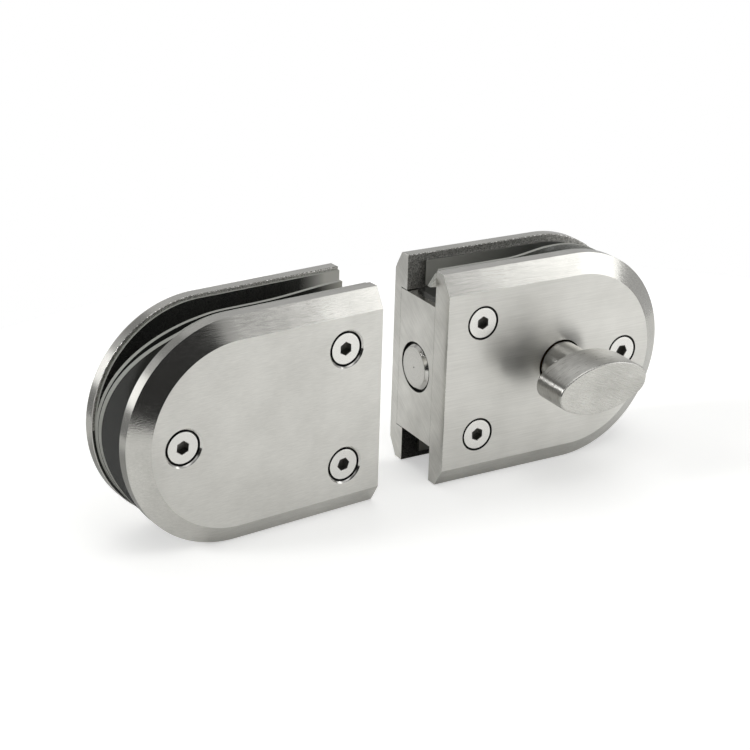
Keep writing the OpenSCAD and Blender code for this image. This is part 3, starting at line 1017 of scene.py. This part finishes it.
@dataclass
class Block(Piece):
    """The D-shaped block between the plates, with the bolt's bore in its straight edge."""

    # Depth and radius of each step of the bore
    bore: Sequence[Point2] = ()
    pocket: Pocket | None = None
    screw_hole_r: float = 3.3
    rounding: float = 0.12
    # Edges of the straight side further from the bore than its mouth and this stay sharp
    mouth_margin: float = 1.0

    def cut_pocket(self, draft: Draft, bore_end: Sequence[int]) -> tuple[list[int], list[int]]:
        """Draws the pocket's walls.

        Args:
            draft: What they are added to.
            bore_end: The bore's last ring, which opens into the pocket.

        Returns:
            The bush's hole in the block's front, and the pocket's mouth in its back.
        """
        p, axle, recess = self.pocket, self.half.axle, self.finishes.recess
        front, back = self.half.plate_t, self.half.seat_y
        corners = [(p.x0, p.z0), (p.x1, p.z0), (p.x1, p.z1), (p.x0, p.z1)]
        floor, mouth = (draft.loop(at_depth(corners, y)) for y in (front + p.wall, back))
        draft.skin([floor, mouth], recess, closed=False)
        draft.cap([floor[3], floor[0], mouth[0], mouth[3]], recess, [bore_end])
        outside, inside = draft.turned(axle.at, [(y, axle.hole_r) for y in (front, front + p.wall)], recess)
        draft.cap(floor, recess, [inside])
        return outside, mouth

    def make(self) -> bpy.types.Object:
        """Builds the block.

        Returns:
            The new object.
        """
        half, f = self.half, self.finishes
        depths = (half.plate_t, half.seat_y)
        middle = (sum(depths) / 2, 0.0)
        draft = Draft()
        front, rear = (draft.loop(at_depth(half.path(half.block_r), y)) for y in depths)
        draft.skin([front, rear], f.rim, closed=False)
        holes = [
            draft.turned(centre, [(y, self.screw_hole_r) for y in depths], f.recess)
            for centre in half.screw_places.values()
        ]
        rings = [draft.loop(at_length(circle(middle, r), x)) for x, r in self.bore]
        draft.skin(rings, f.recess)
        if self.pocket:
            holes.append(self.cut_pocket(draft, rings[-1]))
        else:
            draft.cap(rings[-1], f.recess)
        draft.cap(front, f.rim, [near for near, far in holes])
        draft.cap(rear, f.rim, [far for near, far in holes])
        draft.cap([front[0], rear[0], rear[-1], front[-1]], f.edge, [rings[0]])
        mouth_reach = self.bore[0][1] + self.mouth_margin

        def stays_sharp(p: Vector) -> bool:
            """Says whether an edge isn't at the mouth of the bore."""
            return p.x > NEAR_MM or abs(p.z) > mouth_reach

        return draft.build(f"{self.node}_skin", half, [f.rim, f.edge, f.recess], self.rounding, stays_sharp)


@dataclass
class SocketScrew(Piece):
    """Countersunk socket screw of size M6."""

    at: Point2 = (0.0, 0.0)
    # How far its socket is turned in degrees, as the screw was left
    turn: float = 0.0
    head_r: float = 5.2
    head_rim: float = 0.25
    shank_r: float = 3.0
    socket_af: float = 4.0
    socket_depth: float = 2.8
    tip_gap: float = 0.4
    rounding: float = 0.12

    def make(self) -> bpy.types.Object:
        """Builds the screw.

        Returns:
            The new object.
        """
        half, f = self.half, self.finishes
        top = half.head_sink
        cone_y = top + self.head_rim
        draft = Draft()
        levels = [
            (top, self.head_r),
            (cone_y, self.head_r),
            (cone_y + self.head_r - self.shank_r, self.shank_r),
            (half.seat_y + half.thread_depth - self.tip_gap, self.shank_r),
        ]
        rings = draft.turned(self.at, levels, f.screw)
        draft.cap(rings[-1], f.screw)
        corner_r = self.socket_af / 2 / math.cos(math.radians(30))
        corners = circle(self.at, corner_r, 6, -math.radians(self.turn))
        socket = [draft.loop(at_depth(corners, y)) for y in (top, top + self.socket_depth)]
        draft.skin(socket, f.socket)
        draft.cap(socket[1], f.socket)
        draft.cap(rings[0], f.screw, [socket[0]])
        name = f"{self.node}_skin"
        return draft.build(name, half, [f.screw, f.socket], self.rounding, lambda p: p.y > top + NEAR_MM)


@dataclass
class RoundBolt(Piece):
    """Round bolt whose flat tail carries the upright slot for the crank pin."""

    middle_y: float = 18.9
    radius: float = 8.0
    proud: float = 0.6
    chamfer: float = 1.0
    centre_mark: float = 0.3
    round_x1: float = 27.0
    # How far the flat tail reaches into the round part
    tail_root: float = 1.0
    tail_t: float = 6.0
    tail_h: float = 14.0
    yoke_x: Point2 = (46.507, 57.607)
    yoke_z1: float = 13.55
    slot_x: Point2 = (49.107, 55.007)
    slot_z: Point2 = (2.707, 10.95)
    rounding: float = 0.1
    # Edges nearer to the axis than this belong to the centre mark and stay sharp
    mark_reach: float = 1.0

    def make(self) -> bpy.types.Object:
        """Builds the bolt.

        Returns:
            The new object.
        """
        f = self.finishes
        draft = Draft()
        levels = [
            (-self.proud, self.centre_mark),
            (-self.proud, self.radius - self.chamfer),
            (self.chamfer - self.proud, self.radius),
            (self.round_x1, self.radius),
        ]
        rings = [draft.loop(at_length(circle((self.middle_y, 0.0), r), x)) for x, r in levels]
        mark = draft.loop([(self.centre_mark - self.proud, self.middle_y, 0.0)])[0]
        for one, other in zip(rings[0], rings[0][1:] + rings[0][:1]):
            draft.faces.append(((one, other, mark), f.recess))
        draft.skin(rings[:2], f.bolt_face)
        draft.skin(rings[1:], f.bolt_side)
        draft.cap(rings[3], f.bolt_side)
        top = self.tail_h / 2
        start = self.round_x1 - self.tail_root
        (yoke_x0, yoke_x1), (x0, x1), (z0, z1) = self.yoke_x, self.slot_x, self.slot_z
        high = self.yoke_z1
        tail = [(start, -top), (yoke_x1, -top), (yoke_x1, high), (yoke_x0, high), (yoke_x0, top), (start, top)]
        slot = [(x0, z0), (x1, z0), (x1, z1), (x0, z1)]
        depths = (self.middle_y - self.tail_t / 2, self.middle_y + self.tail_t / 2)
        outer, inner = ([draft.loop(at_depth(outline, y)) for y in depths] for outline in (tail, slot))
        draft.skin(outer, f.bolt_side)
        draft.skin(inner, f.bolt_side)
        for face, hole in zip(outer, inner):
            draft.cap(face, f.bolt_side, [hole])

        def stays_sharp(p: Vector) -> bool:
            """Says whether an edge is behind the nose or at its centre mark."""
            return p.x > self.round_x1 / 2 or math.hypot(p.y - self.middle_y, p.z) < self.mark_reach

        finishes = [f.bolt_face, f.bolt_side, f.recess]
        return draft.build(f"{self.node}_skin", self.half, finishes, self.rounding, stays_sharp)


@dataclass
class OvalKnob(Piece):
    """Oval knob and its round stem, turned and milled from one bar."""

    length: float = 35.0
    height: float = 17.5
    end_r: float = 5.4
    tilt: float = math.radians(3.7)
    thickness: float = 13.7
    edge: float = 0.35
    # Ring that the milling cutter left behind the front edge
    mark_at: float = 1.3
    mark_w: float = 0.2
    mark_depth: float = 0.06
    stem_r: float = 8.0
    stem_length: float = 10.7
    stem_gap: float = 0.3
    grub_r: float = 2.02
    grub_depth: float = 3.0
    rounding: float = 0.15
    # Edges between the front edge and the back, and further than this from both, stay sharp
    edge_margin: float = 0.1

    def outline(self, inset: float) -> list[Point2]:
        """Draws the oval as four arcs that run into each other.

        Args:
            inset: How far it is drawn in.

        Returns:
            Its points.
        """
        end_x = self.length / 2 - self.end_r
        half_h = self.height / 2
        side_r = (end_x**2 + half_h**2 - self.end_r**2) / (2 * (half_h - self.end_r))
        side_z = side_r - half_h
        meet = math.atan2(side_z, end_x)
        turn = math.pi
        arcs = [
            ((end_x, 0.0), self.end_r, -meet, meet),
            ((0.0, -side_z), side_r, meet, turn - meet),
            ((-end_x, 0.0), self.end_r, turn - meet, turn + meet),
            ((0.0, side_z), side_r, turn + meet, 2 * turn - meet),
        ]
        steps = RING_STEPS // 2
        points = []
        for (x, z), radius, start, end in arcs:
            for i in range(steps):
                angle = start + (end - start) * i / steps
                points.append((x + (radius - inset) * math.cos(angle), z + (radius - inset) * math.sin(angle)))
        axis_x = self.half.axle.at[0]
        c, s = math.cos(self.tilt), math.sin(self.tilt)
        return [(axis_x + c * x - s * z, s * x + c * z) for x, z in points]

    def grub_plug(self, y: float) -> bpy.types.Object:
        """Builds what is cut out of the stem for the grub screw.

        Args:
            y: Depth of its axis.

        Returns:
            The new object.
        """
        # The hole's walls take the knob's back finish, drawn nearly black as painted shade
        finish = self.finishes.knob_back
        draft = Draft()
        ring = circle((self.half.axle.at[0], y), self.grub_r, 32)
        # It starts a millimetre below the stem, so that the cut is clean
        heights = (-self.stem_r - 1, self.grub_depth - self.stem_r)
        low, high = (draft.loop([(a, b, z) for a, b in ring]) for z in heights)
        draft.skin([low, high], finish)
        draft.cap(low, finish)
        draft.cap(high, finish)
        return draft.build("grub_plug", self.half, [finish])

    def make(self) -> bpy.types.Object:
        """Builds the knob.

        Returns:
            The new object.
        """
        f = self.finishes
        back = -self.stem_gap - self.stem_length
        front = back - self.thickness
        mark_y = front + self.mark_at
        levels = [
            (front, self.edge),
            (front + self.edge, 0.0),
            (mark_y - self.mark_w, 0.0),
            (mark_y, self.mark_depth),
            (mark_y + self.mark_w, 0.0),
            (back, 0.0),
        ]
        draft = Draft()
        rows = [draft.loop(at_depth(self.outline(inset), y)) for y, inset in levels]
        draft.skin(rows, f.knob_side)
        draft.cap(rows[0], f.knob_face)
        stem = draft.turned(self.half.axle.at, [(y, self.stem_r) for y in (back, -self.stem_gap)], f.stem)
        draft.cap(rows[-1], f.knob_back, [stem[0]])
        draft.cap(stem[1], f.knob_back)

        def stays_sharp(p: Vector) -> bool:
            """Says whether an edge is on the knob's side, as the cutter's ring is."""
            return front + self.edge + self.edge_margin < p.y < back - self.edge_margin

        finishes = [f.knob_face, f.knob_side, f.stem, f.knob_back]
        knob = draft.build(f"{self.node}_skin", self.half, finishes, self.rounding, stays_sharp)
        plug = self.grub_plug(-self.stem_gap - self.stem_length / 2)
        cut = knob.modifiers.new("grub_hole", "BOOLEAN")
        cut.object = plug
        cut.solver = "EXACT"
        cut.material_mode = "TRANSFER"
        knob.modifiers.move(1, 0)
        cut_mesh = bpy.data.meshes.new_from_object(knob.evaluated_get(bpy.context.evaluated_depsgraph_get()))
        knob.modifiers.clear()
        knob.data = cut_mesh
        bpy.data.objects.remove(plug)
        return knob


@dataclass
class GasketSheet(Piece):
    """A sheet of clear PVC round the block, which may stand off its plate along the half and across its width."""

    thickness: float = 1.0
    # Depth of the sheet's back by distance from the straight edge and share of the way from its outer to its inner rim
    rear: Callable[[float, float], float] = lambda x, inwards: 0.0
    start: float = 0.5
    inset: float = 0.5
    inner_r: float = 26.6
    across: int = 6
    # Outline of a pointed corner that stands out of the sheet's upper end
    corner: Sequence[Point2] = ()
    # Whether the sheet takes the dusty finish, which also carries painted shade and painted light
    dusty: bool = False

    def make(self) -> bpy.types.Object:
        """Builds the sheet.

        Returns:
            The new object.
        """
        f = self.finishes
        finishes = [f.keeper_gasket if self.half.mirrored else f.gasket, f.gasket_edge, f.gasket_corner]
        if self.dusty:
            finishes = [f.dusty_gasket_painted_shade, f.gasket]
        face, cut = finishes[:2]
        outer_r = self.half.end_r - self.inset
        draft = Draft()
        rears, fronts = [], []
        for k in range(self.across + 1):
            inwards = k / self.across
            back, front = [], []
            for x, z in self.half.path(outer_r + (self.inner_r - outer_r) * inwards, self.start):
                y = self.rear(x, inwards)
                slope = self.rear(x + 0.5, inwards) - self.rear(x - 0.5, inwards)
                back.append((x, y, z))
                front.append((x, y - self.thickness * math.hypot(1, slope), z))
            rears.append(draft.loop(back))
            fronts.append(draft.loop(front))
        draft.skin(rears, face, closed=False)
        draft.skin(fronts, face, closed=False)
        for rim in (0, -1):
            draft.skin([rears[rim], fronts[rim]], cut, closed=False)
        for end in (0, -1):
            draft.skin([[row[end] for row in rows] for rows in (rears, fronts)], cut, closed=False)
        if self.corner:
            back_y = self.rear(self.start, 0.0)
            sides = [draft.loop(at_depth(self.corner, y)) for y in (back_y - self.thickness, back_y)]
            draft.skin(sides, cut)
            for side in sides:
                draft.cap(side, f.gasket_corner)
        return draft.build(f"{self.node}_skin", self.half, finishes)


def share(x: float, a: float, b: float) -> float:
    """Gives the share of a bend at x that starts at a and is whole at b."""
    return max(0.0, min(1.0, (x - a) / (b - a)))


def ease(x: float, a: float, b: float) -> float:
    """Gives the share of an S bend at x that starts at a and is whole at b."""
    s = share(x, a, b)
    return s * s * (3 - 2 * s)


@dataclass
class GasketSet:
    """The three sheets of each half: one on the front plate, a loose one behind it, and one on the back plate."""

    lock: Half
    keeper: Half
    finishes: Finishes
    front_t: float = 1.6
    spare_t: float = 1.3
    back_t: float = 1.0
    # Air between sheets that lie on each other, before the back plate's sheet, and under the keeper's loose one
    lay: float = 0.1
    play: float = 0.3
    loose_gap: float = 1.0
    # How far the lock half's loose sheet leans off, between which shares of the width, and how much less inside
    lean: float = 5.2
    lean_span: Point2 = (0.31, 0.58)
    lean_loss: float = 0.65
    # How far the keeper half's loose sheet lifts towards the straight side, and between which shares of the width
    lift: float = 3.7
    lift_span: Point2 = (0.055, 0.44)
    # From which share of the width the keeper half's sheets curl at the round end, and to which power
    front_curl: Point2 = (0.755, 1.3)
    spare_curl: Point2 = (0.63, 1.8)
    # A sheet takes up more depth where it slopes
    slope_room: float = 1.25
    corner: Sequence[Point2] = ((3.2, 36.2), (0.5, 36.2), (-2.3, 32.3), (3.2, 31.6))

    @property
    def front_y(self) -> float:
        """Depth of the back of a sheet that lies on the front plate."""
        return self.lock.plate_t + self.lay + self.front_t

    @property
    def tip_y(self) -> float:
        """Depth that the curled sheets reach at the round end."""
        return self.lock.back_y - self.back_t - self.play

    def lock_spare(self, x: float, inwards: float) -> float:
        """Gives the depth of the lock half's loose sheet, which leans off from mid-length on."""
        start, end = (at * self.lock.width for at in self.lean_span)
        spare_y = self.front_y + self.lay + self.spare_t
        return spare_y + self.lean * ease(x, start, end) * (1 - self.lean_loss * inwards)

    def keeper_front(self, x: float, inwards: float) -> float:
        """Gives the depth of the keeper half's front sheet, which curls away at the round end."""
        start, power = self.front_curl
        far_y = self.tip_y - self.slope_room * self.spare_t - 2 * self.lay
        width = self.lock.width
        return self.front_y + (far_y - self.front_y) * share(x, start * width, width) ** power

    def keeper_spare(self, x: float, inwards: float) -> float:
        """Gives the depth of the keeper half's loose sheet, which curls away at both ends."""
        start, power = self.spare_curl
        loose_y = self.front_y + self.spare_t + self.loose_gap
        width = self.lock.width
        curl = (self.tip_y - loose_y) * share(x, start * width, width) ** power
        end, begin = (-at * width for at in self.lift_span)
        return loose_y + curl + self.lift * ease(-x, begin, end)

    def sheets(self) -> list[GasketSheet]:
        """Lists the sheets.

        Returns:
            Those of the lock half and then those of the keeper half, each from the front to the back.
        """
        lock_front, lock_spare, lock_back, keeper_front, keeper_spare, keeper_back = (
            GasketSheet(half, self.finishes, f"{half.name}_{place}_gasket", thickness)
            for half in (self.lock, self.keeper)
            for place, thickness in (("front", self.front_t), ("spare", self.spare_t), ("back", self.back_t))
        )
        lock_front.rear = lambda x, inwards: self.front_y
        lock_spare.rear = self.lock_spare
        keeper_front.rear = self.keeper_front
        keeper_spare.rear = self.keeper_spare
        lock_back.rear = keeper_back.rear = lambda x, inwards: self.lock.back_y
        lock_front.corner = self.corner
        lock_front.start = lock_spare.start = 2.2
        lock_back.start, lock_back.inset, lock_back.inner_r, lock_back.dusty = 6.5, 2.5, 26.3, True
        keeper_spare.start = 6.2
        keeper_back.start, keeper_back.inset, keeper_back.inner_r = 0.1, 1.0, 26.3
        return [lock_front, lock_spare, lock_back, keeper_front, keeper_spare, keeper_back]


@dataclass(frozen=True)
class Patch:
    """A round part of the surroundings that is lighter or darker than the rest, in degrees from +Y towards +X."""

    azimuth: float
    elevation: float
    radius: float
    softness: float
    level: float

    @property
    def direction(self) -> Point3:
        """Where its middle is."""
        a, e = math.radians(self.azimuth), math.radians(self.elevation)
        return (math.cos(e) * math.sin(a), math.cos(e) * math.cos(a), math.sin(e))


@dataclass(frozen=True)
class SoftBox:
    """A square lamp that faces the lock, in degrees from +Y towards +X, metres and watts."""

    azimuth: float = 121.5
    elevation: float = 25.5
    distance: float = 1.0
    size: float = 0.5
    watts: float = 1.2


@dataclass
class Studio:
    """Pale floor, plain soft light and the camera at the photograph's angle."""

    lock: Half
    lens_mm: float = 83.92
    azimuth: float = math.radians(30.561)
    elevation: float = math.radians(22.31)
    roll: float = math.radians(1.703)
    # Camera's place in the lock half's axes, in millimetres
    stand: Point3 = (-289.52, -444.81, 220.92)
    floor_r: float = 0.3
    floor_at: Point2 = (0.03, -0.08)
    # The floor's colour, and where the keeper half shades it
    floor_colour: str = "#e4e4e2"
    floor_shaded: str = "#b4b4b2"
    # Glow that makes the floor white to the camera and through the PVC, on top of the lamp's light
    floor_lift: float = 0.45
    # Middle of the shade beside the keeper half and of the shade under the lock, as Y of the floor, in metres
    keeper_shade_y: float = 0.12
    lock_shade_y: float = 0.097
    key: SoftBox = SoftBox()
    wall_level: float = 0.57
    patches: Sequence[Patch] = (
        # Pale ceiling with a lamp
        Patch(0, 90, 34, 8, 1.2),
        Patch(180, 70, 7, 5, 3.0),
        # Dark parts of the room at both sides, and a small bright window at the left
        Patch(90, 54, 17, 6, 0.15),
        Patch(-90, 56, 19, 6, 0.05),
        Patch(-88, -4, 15, 5, 0.03),
        Patch(-78, 31, 6, 3, 19.0),
        # Dark room behind the camera
        Patch(178, 24, 20, 9, 0.04),
        Patch(-160, 12, 15, 8, 0.04),
        Patch(-132, 3, 19, 5, 0.03),
        # White card at the right front
        Patch(138, 2, 12, 8, 1.0),
        # Dim part of the wall at the back
        Patch(-16, 33, 6, 6, 0.3),
        # Reflector at the back left, and the dark below it
        Patch(-39, -8, 8, 6, 0.25),
        Patch(-39, 11, 7, 6, 1.7),
    )

    def camera(self) -> None:
        """Sets up the camera."""
        a, e = self.azimuth, self.elevation
        forward = Vector((math.cos(e) * math.sin(a), math.cos(e) * math.cos(a), -math.sin(e)))
        level = Vector((math.cos(a), -math.sin(a), 0.0))
        above = level.cross(forward)
        right = level * math.cos(self.roll) + above * math.sin(self.roll)
        up = above * math.cos(self.roll) - level * math.sin(self.roll)
        turned = Matrix((right, up, -forward)).transposed().to_4x4()
        data = bpy.data.cameras.new("camera")
        data.lens = self.lens_mm
        data.sensor_width = 36.0
        data.clip_start = 0.01
        eye = bpy.data.objects.new("camera", data)
        bpy.context.scene.collection.objects.link(eye)
        eye.matrix_world = Matrix.Translation(self.lock.place @ Vector(self.stand)) @ turned
        bpy.context.scene.camera = eye

    def lamp(self) -> None:
        """Adds the soft box."""
        data = bpy.data.lights.new("key_soft_box", "AREA")
        data.shape = "SQUARE"
        data.size = self.key.size
        data.energy = self.key.watts
        lamp = bpy.data.objects.new("key_soft_box", data)
        bpy.context.scene.collection.objects.link(lamp)
        away = Vector(Patch(self.key.azimuth, self.key.elevation, 0, 0, 0).direction)
        lamp.location = away * self.key.distance
        lamp.rotation_euler = away.to_track_quat("Z", "Y").to_euler()

    def world(self) -> None:
        """Sets up the surroundings: white to the camera and through the PVC, and a studio's walls to the steel."""
        world = bpy.data.worlds.new("studio")
        bpy.context.scene.world = world
        world.use_nodes = True
        tree = world.node_tree
        tree.nodes.clear()
        place = add_node(tree, "TexCoord").outputs["Generated"]
        level: object = self.wall_level
        for patch in self.patches:
            near = add_node(tree, "VectorMath", {0: place, 1: patch.direction}, operation="DOT_PRODUCT")
            rim, heart = (math.cos(math.radians(r)) for r in (patch.radius + patch.softness, patch.radius))
            span = {"Value": near, "From Min": rim, "From Max": heart}
            inside = add_node(tree, "MapRange", span, interpolation_type="SMOOTHSTEP")
            level = add_node(tree, "Mix", {"Factor": inside, "A": level, "B": patch.level})
        rays = add_node(tree, "LightPath").outputs
        direct = add_node(tree, "Math", {0: rays["Is Camera Ray"], 1: rays["Is Transmission Ray"]}, operation="MAXIMUM")
        seen = add_node(tree, "Mix", {"Factor": direct, "A": level, "B": 1.0})
        light = add_node(tree, "Background", {"Color": linear("#ffffff"), "Strength": seen})
        add_node(tree, "OutputWorld", {"Surface": light})

    def floor(self) -> None:
        """Adds the pale floor, whose own colour is lifted to white where the camera, the steel or the PVC shows it."""
        bpy.ops.mesh.primitive_circle_add(vertices=128, radius=self.floor_r, fill_type="NGON")
        disc = bpy.context.object
        disc.name = "floor"
        material, tree = new_tree("white_paper")
        rays = add_node(tree, "LightPath").outputs
        direct = add_node(tree, "Math", {0: rays["Is Camera Ray"], 1: rays["Is Transmission Ray"]}, operation="MAXIMUM")
        spot = add_node(tree, "SeparateXYZ", {0: add_node(tree, "TexCoord").outputs["Object"]}).outputs
        x, y = spot["X"], spot["Y"]
        off_middle = []
        for middle in (self.keeper_shade_y, self.lock_shade_y):
            beside = add_node(tree, "Math", {0: y, 1: middle}, operation="SUBTRACT")
            off_middle.append(add_node(tree, "Math", {0: beside}, operation="ABSOLUTE"))
        # Light on the floor: by what it changes, where it starts and ends in metres, and what it goes from and to
        ramps = {
            # Beside the keeper half the floor lies in its shade
            "right_of_keeper": (x, -0.14, -0.06, 0.0, 1.0),
            "past_keeper_shade": (off_middle[0], 0.025, 0.04, 0.0, 1.0),
            # Painted light: the floor is drawn lighter at the right, where the lamp stands, and further left behind the
            # lock
            "left_end": (y, 0.145, 0.165, -0.09, -0.17),
            # Close under the lock the floor stays in its shade
            "past_lock_shade": (off_middle[1], 0.015, 0.04, 0.4, 1.0),
            # Painted light, as from a white card at the left, on the floor before the keeper half, in two steps
            "far_card_painted_light": (x, -0.11, -0.14, 0.0, 0.1),
            "near_card_painted_light": (x, -0.02, -0.05, 0.0, 0.15),
            "before_keeper": (y, 0.1, 0.085, 0.0, 1.0),
        }
        sockets = ("Value", "From Min", "From Max", "To Min", "To Max")
        made = {name: add_node(tree, "MapRange", dict(zip(sockets, ramp))) for name, ramp in ramps.items()}
        to_right = add_node(tree, "MapRange", dict(zip(sockets, (x, made["left_end"], 0.04, 0.0, 0.34))))
        beside_shade = {0: made["past_keeper_shade"], 1: made["right_of_keeper"]}
        unshaded = add_node(tree, "Math", beside_shade, operation="MAXIMUM")
        plain = add_node(tree, "Math", {0: direct, 1: unshaded}, operation="MAXIMUM")
        tones = {"Factor": plain, "A": linear(self.floor_shaded), "B": linear(self.floor_colour)}
        matt = add_node(tree, "BsdfDiffuse", {"Color": add_node(tree, "Mix", tones, data_type="RGBA")})
        open_floor = add_node(tree, "Math", {0: to_right, 1: made["past_lock_shade"]}, operation="MULTIPLY")
        painted_card_light = add_node(tree, "Math", {0: made["far_card_painted_light"], 1: made["near_card_painted_light"]}, operation="ADD")
        both = {0: painted_card_light, 1: made["before_keeper"], 2: open_floor}
        shine = add_node(tree, "Math", both, operation="MULTIPLY_ADD")
        glossy = add_node(tree, "Math", {0: rays["Is Glossy Ray"], 1: shine}, operation="MULTIPLY")
        lift = add_node(tree, "Math", {0: direct, 1: self.floor_lift, 2: glossy}, operation="MULTIPLY_ADD")
        glow = add_node(tree, "Emission", {"Color": linear("#ffffff"), "Strength": lift})
        add_node(tree, "OutputMaterial", {"Surface": add_node(tree, "AddShader", {0: matt, 1: glow})})
        disc.data.materials.append(material)
        # A hair below the halves, so that their bottoms and the floor don't flicker
        disc.location = (*self.floor_at, -0.0002)

    def make(self) -> None:
        """Sets up the whole studio."""
        self.camera()
        self.world()
        self.floor()
        self.lamp()
        bpy.context.scene.view_settings.view_transform = "Standard"


@dataclass
class PatchLock:
    """The whole set: both halves and what moves in the lock half."""

    finishes: Finishes
    lock: Half
    keeper: Half
    # Depth and radius of each step of the bolt's bore, in the lock half's block and in the keeper half's
    lock_bore: Sequence[Point2] = ((0.0, 8.75), (1.2, 8.75), (1.2, 8.05), (26.0, 8.05))
    keeper_bore: Sequence[Point2] = ((0.0, 9.3), (0.8, 8.5), (16.0, 8.5))

    def add(self, piece: Piece, slot: str, body: str = "root") -> None:
        """Builds a piece and puts it on its body, in place of its CAD node.

        Args:
            piece: What is built.
            slot: The record's material slot. It is not used.
            body: The body that it moves with.
        """
        skin = piece.make()
        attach(skin, body)
        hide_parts(piece.node)
        LOG.info("%s stands for %s: %d faces", skin.name, piece.node, len(skin.data.polygons))

    def plates(self) -> None:
        """Builds the plates and the blocks of both halves."""
        f = self.finishes
        for half in (self.lock, self.keeper):
            self.add(FrontPlate(half, f, f"{half.name}_front_plate"), "plate_steel")
            self.add(BackPlate(half, f, f"{half.name}_back_plate"), "plate_steel")
        self.add(Block(self.lock, f, "lock_block", self.lock_bore, Pocket()), "block_steel")
        self.add(Block(self.keeper, f, "keeper_block", self.keeper_bore), "block_steel")

    def screws(self) -> None:
        """Builds the screws of both halves."""
        turns = {"lock": {"top": 30, "bottom": 27, "end": 4}, "keeper": {"top": 30, "bottom": 8, "end": 22}}
        for half in (self.lock, self.keeper):
            for place, at in half.screw_places.items():
                node = f"{half.name}_screw_{place}"
                self.add(SocketScrew(half, self.finishes, node, at, turns[half.name][place]), "screw_steel")

    def gaskets(self) -> None:
        """Builds the gaskets of both halves."""
        for sheet in GasketSet(self.lock, self.keeper, self.finishes).sheets():
            self.add(sheet, "gasket")

    def moving(self) -> None:
        """Builds the knob and the bolt."""
        self.add(OvalKnob(self.lock, self.finishes, "thumb_knob"), "knob_steel", "thumb_turn")
        self.add(RoundBolt(self.lock, self.finishes, "bolt"), "bolt_steel", "bolt")

    def keep_nodes(self, nodes: dict[str, bpy.types.Object]) -> None:
        """Gives the CAD nodes that stay their finish.

        Args:
            nodes: The frame's nodes by name.
        """
        f = self.finishes
        kept = {
            "spindle_bush": f.bronze,
            "friction_washer": f.nylon,
            "turn_spindle": f.spindle,
            "crank_disc": f.spindle,
            "crank_pin": f.spindle,
            "knob_grub_screw": f.spindle,
            "lock_edge_liner": f.liner,
            "keeper_edge_liner": f.liner,
        }
        for name, material in kept.items():
            nodes[name].data.materials.clear()
            nodes[name].data.materials.append(material)
            LOG.info("%s keeps its CAD form in %s", name, material.name)

    def make(self, nodes: dict[str, bpy.types.Object]) -> None:
        """Builds every piece.

        Args:
            nodes: The frame's nodes by name.
        """
        self.plates()
        self.screws()
        self.gaskets()
        self.moving()
        self.keep_nodes(nodes)


def find_halves() -> tuple[Half, Half]:
    """Reads from the frame where the halves stand and how large they are.

    Returns:
        The lock half and the keeper half.
    """
    front_lo, front_hi = (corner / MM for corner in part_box("lock_front_plate"))
    back_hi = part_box("lock_back_plate")[1] / MM
    middle = (front_lo.z + front_hi.z) / 2
    sizes = {
        "plate_t": front_hi.y - front_lo.y,
        "depth": back_hi.y - front_lo.y,
        "width": front_hi.x - front_lo.x,
        "height": front_hi.z - front_lo.z,
    }
    lock = Half("lock", Vector((front_lo.x, front_lo.y, middle)), 0.0, False, **sizes, axle=Axle())
    keeper_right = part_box("keeper_front_plate")[1].x / MM
    keeper_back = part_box("keeper_back_plate")[1].y / MM
    origin = Vector((keeper_right, keeper_back - sizes["depth"] * math.cos(KEEPER_TURN), middle))
    keeper = Half("keeper", origin, KEEPER_TURN, True, **sizes, head_sink=0.6, recess_mouth=0.55)
    return lock, keeper


def main() -> None:
    """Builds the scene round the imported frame."""
    logging.basicConfig(level=logging.INFO, format="%(name)s: %(message)s")
    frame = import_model()
    lock, keeper = find_halves()
    Studio(lock).make()
    bolt_lo, bolt_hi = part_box("bolt")
    bolt_centre = (bolt_lo.x, (bolt_lo.y + bolt_hi.y) / 2, lock.origin.z * MM)
    PatchLock(Finishes(bolt_centre, keeper.origin.x), lock, keeper).make(frame["nodes"])


if __name__ == "__main__":
    main()
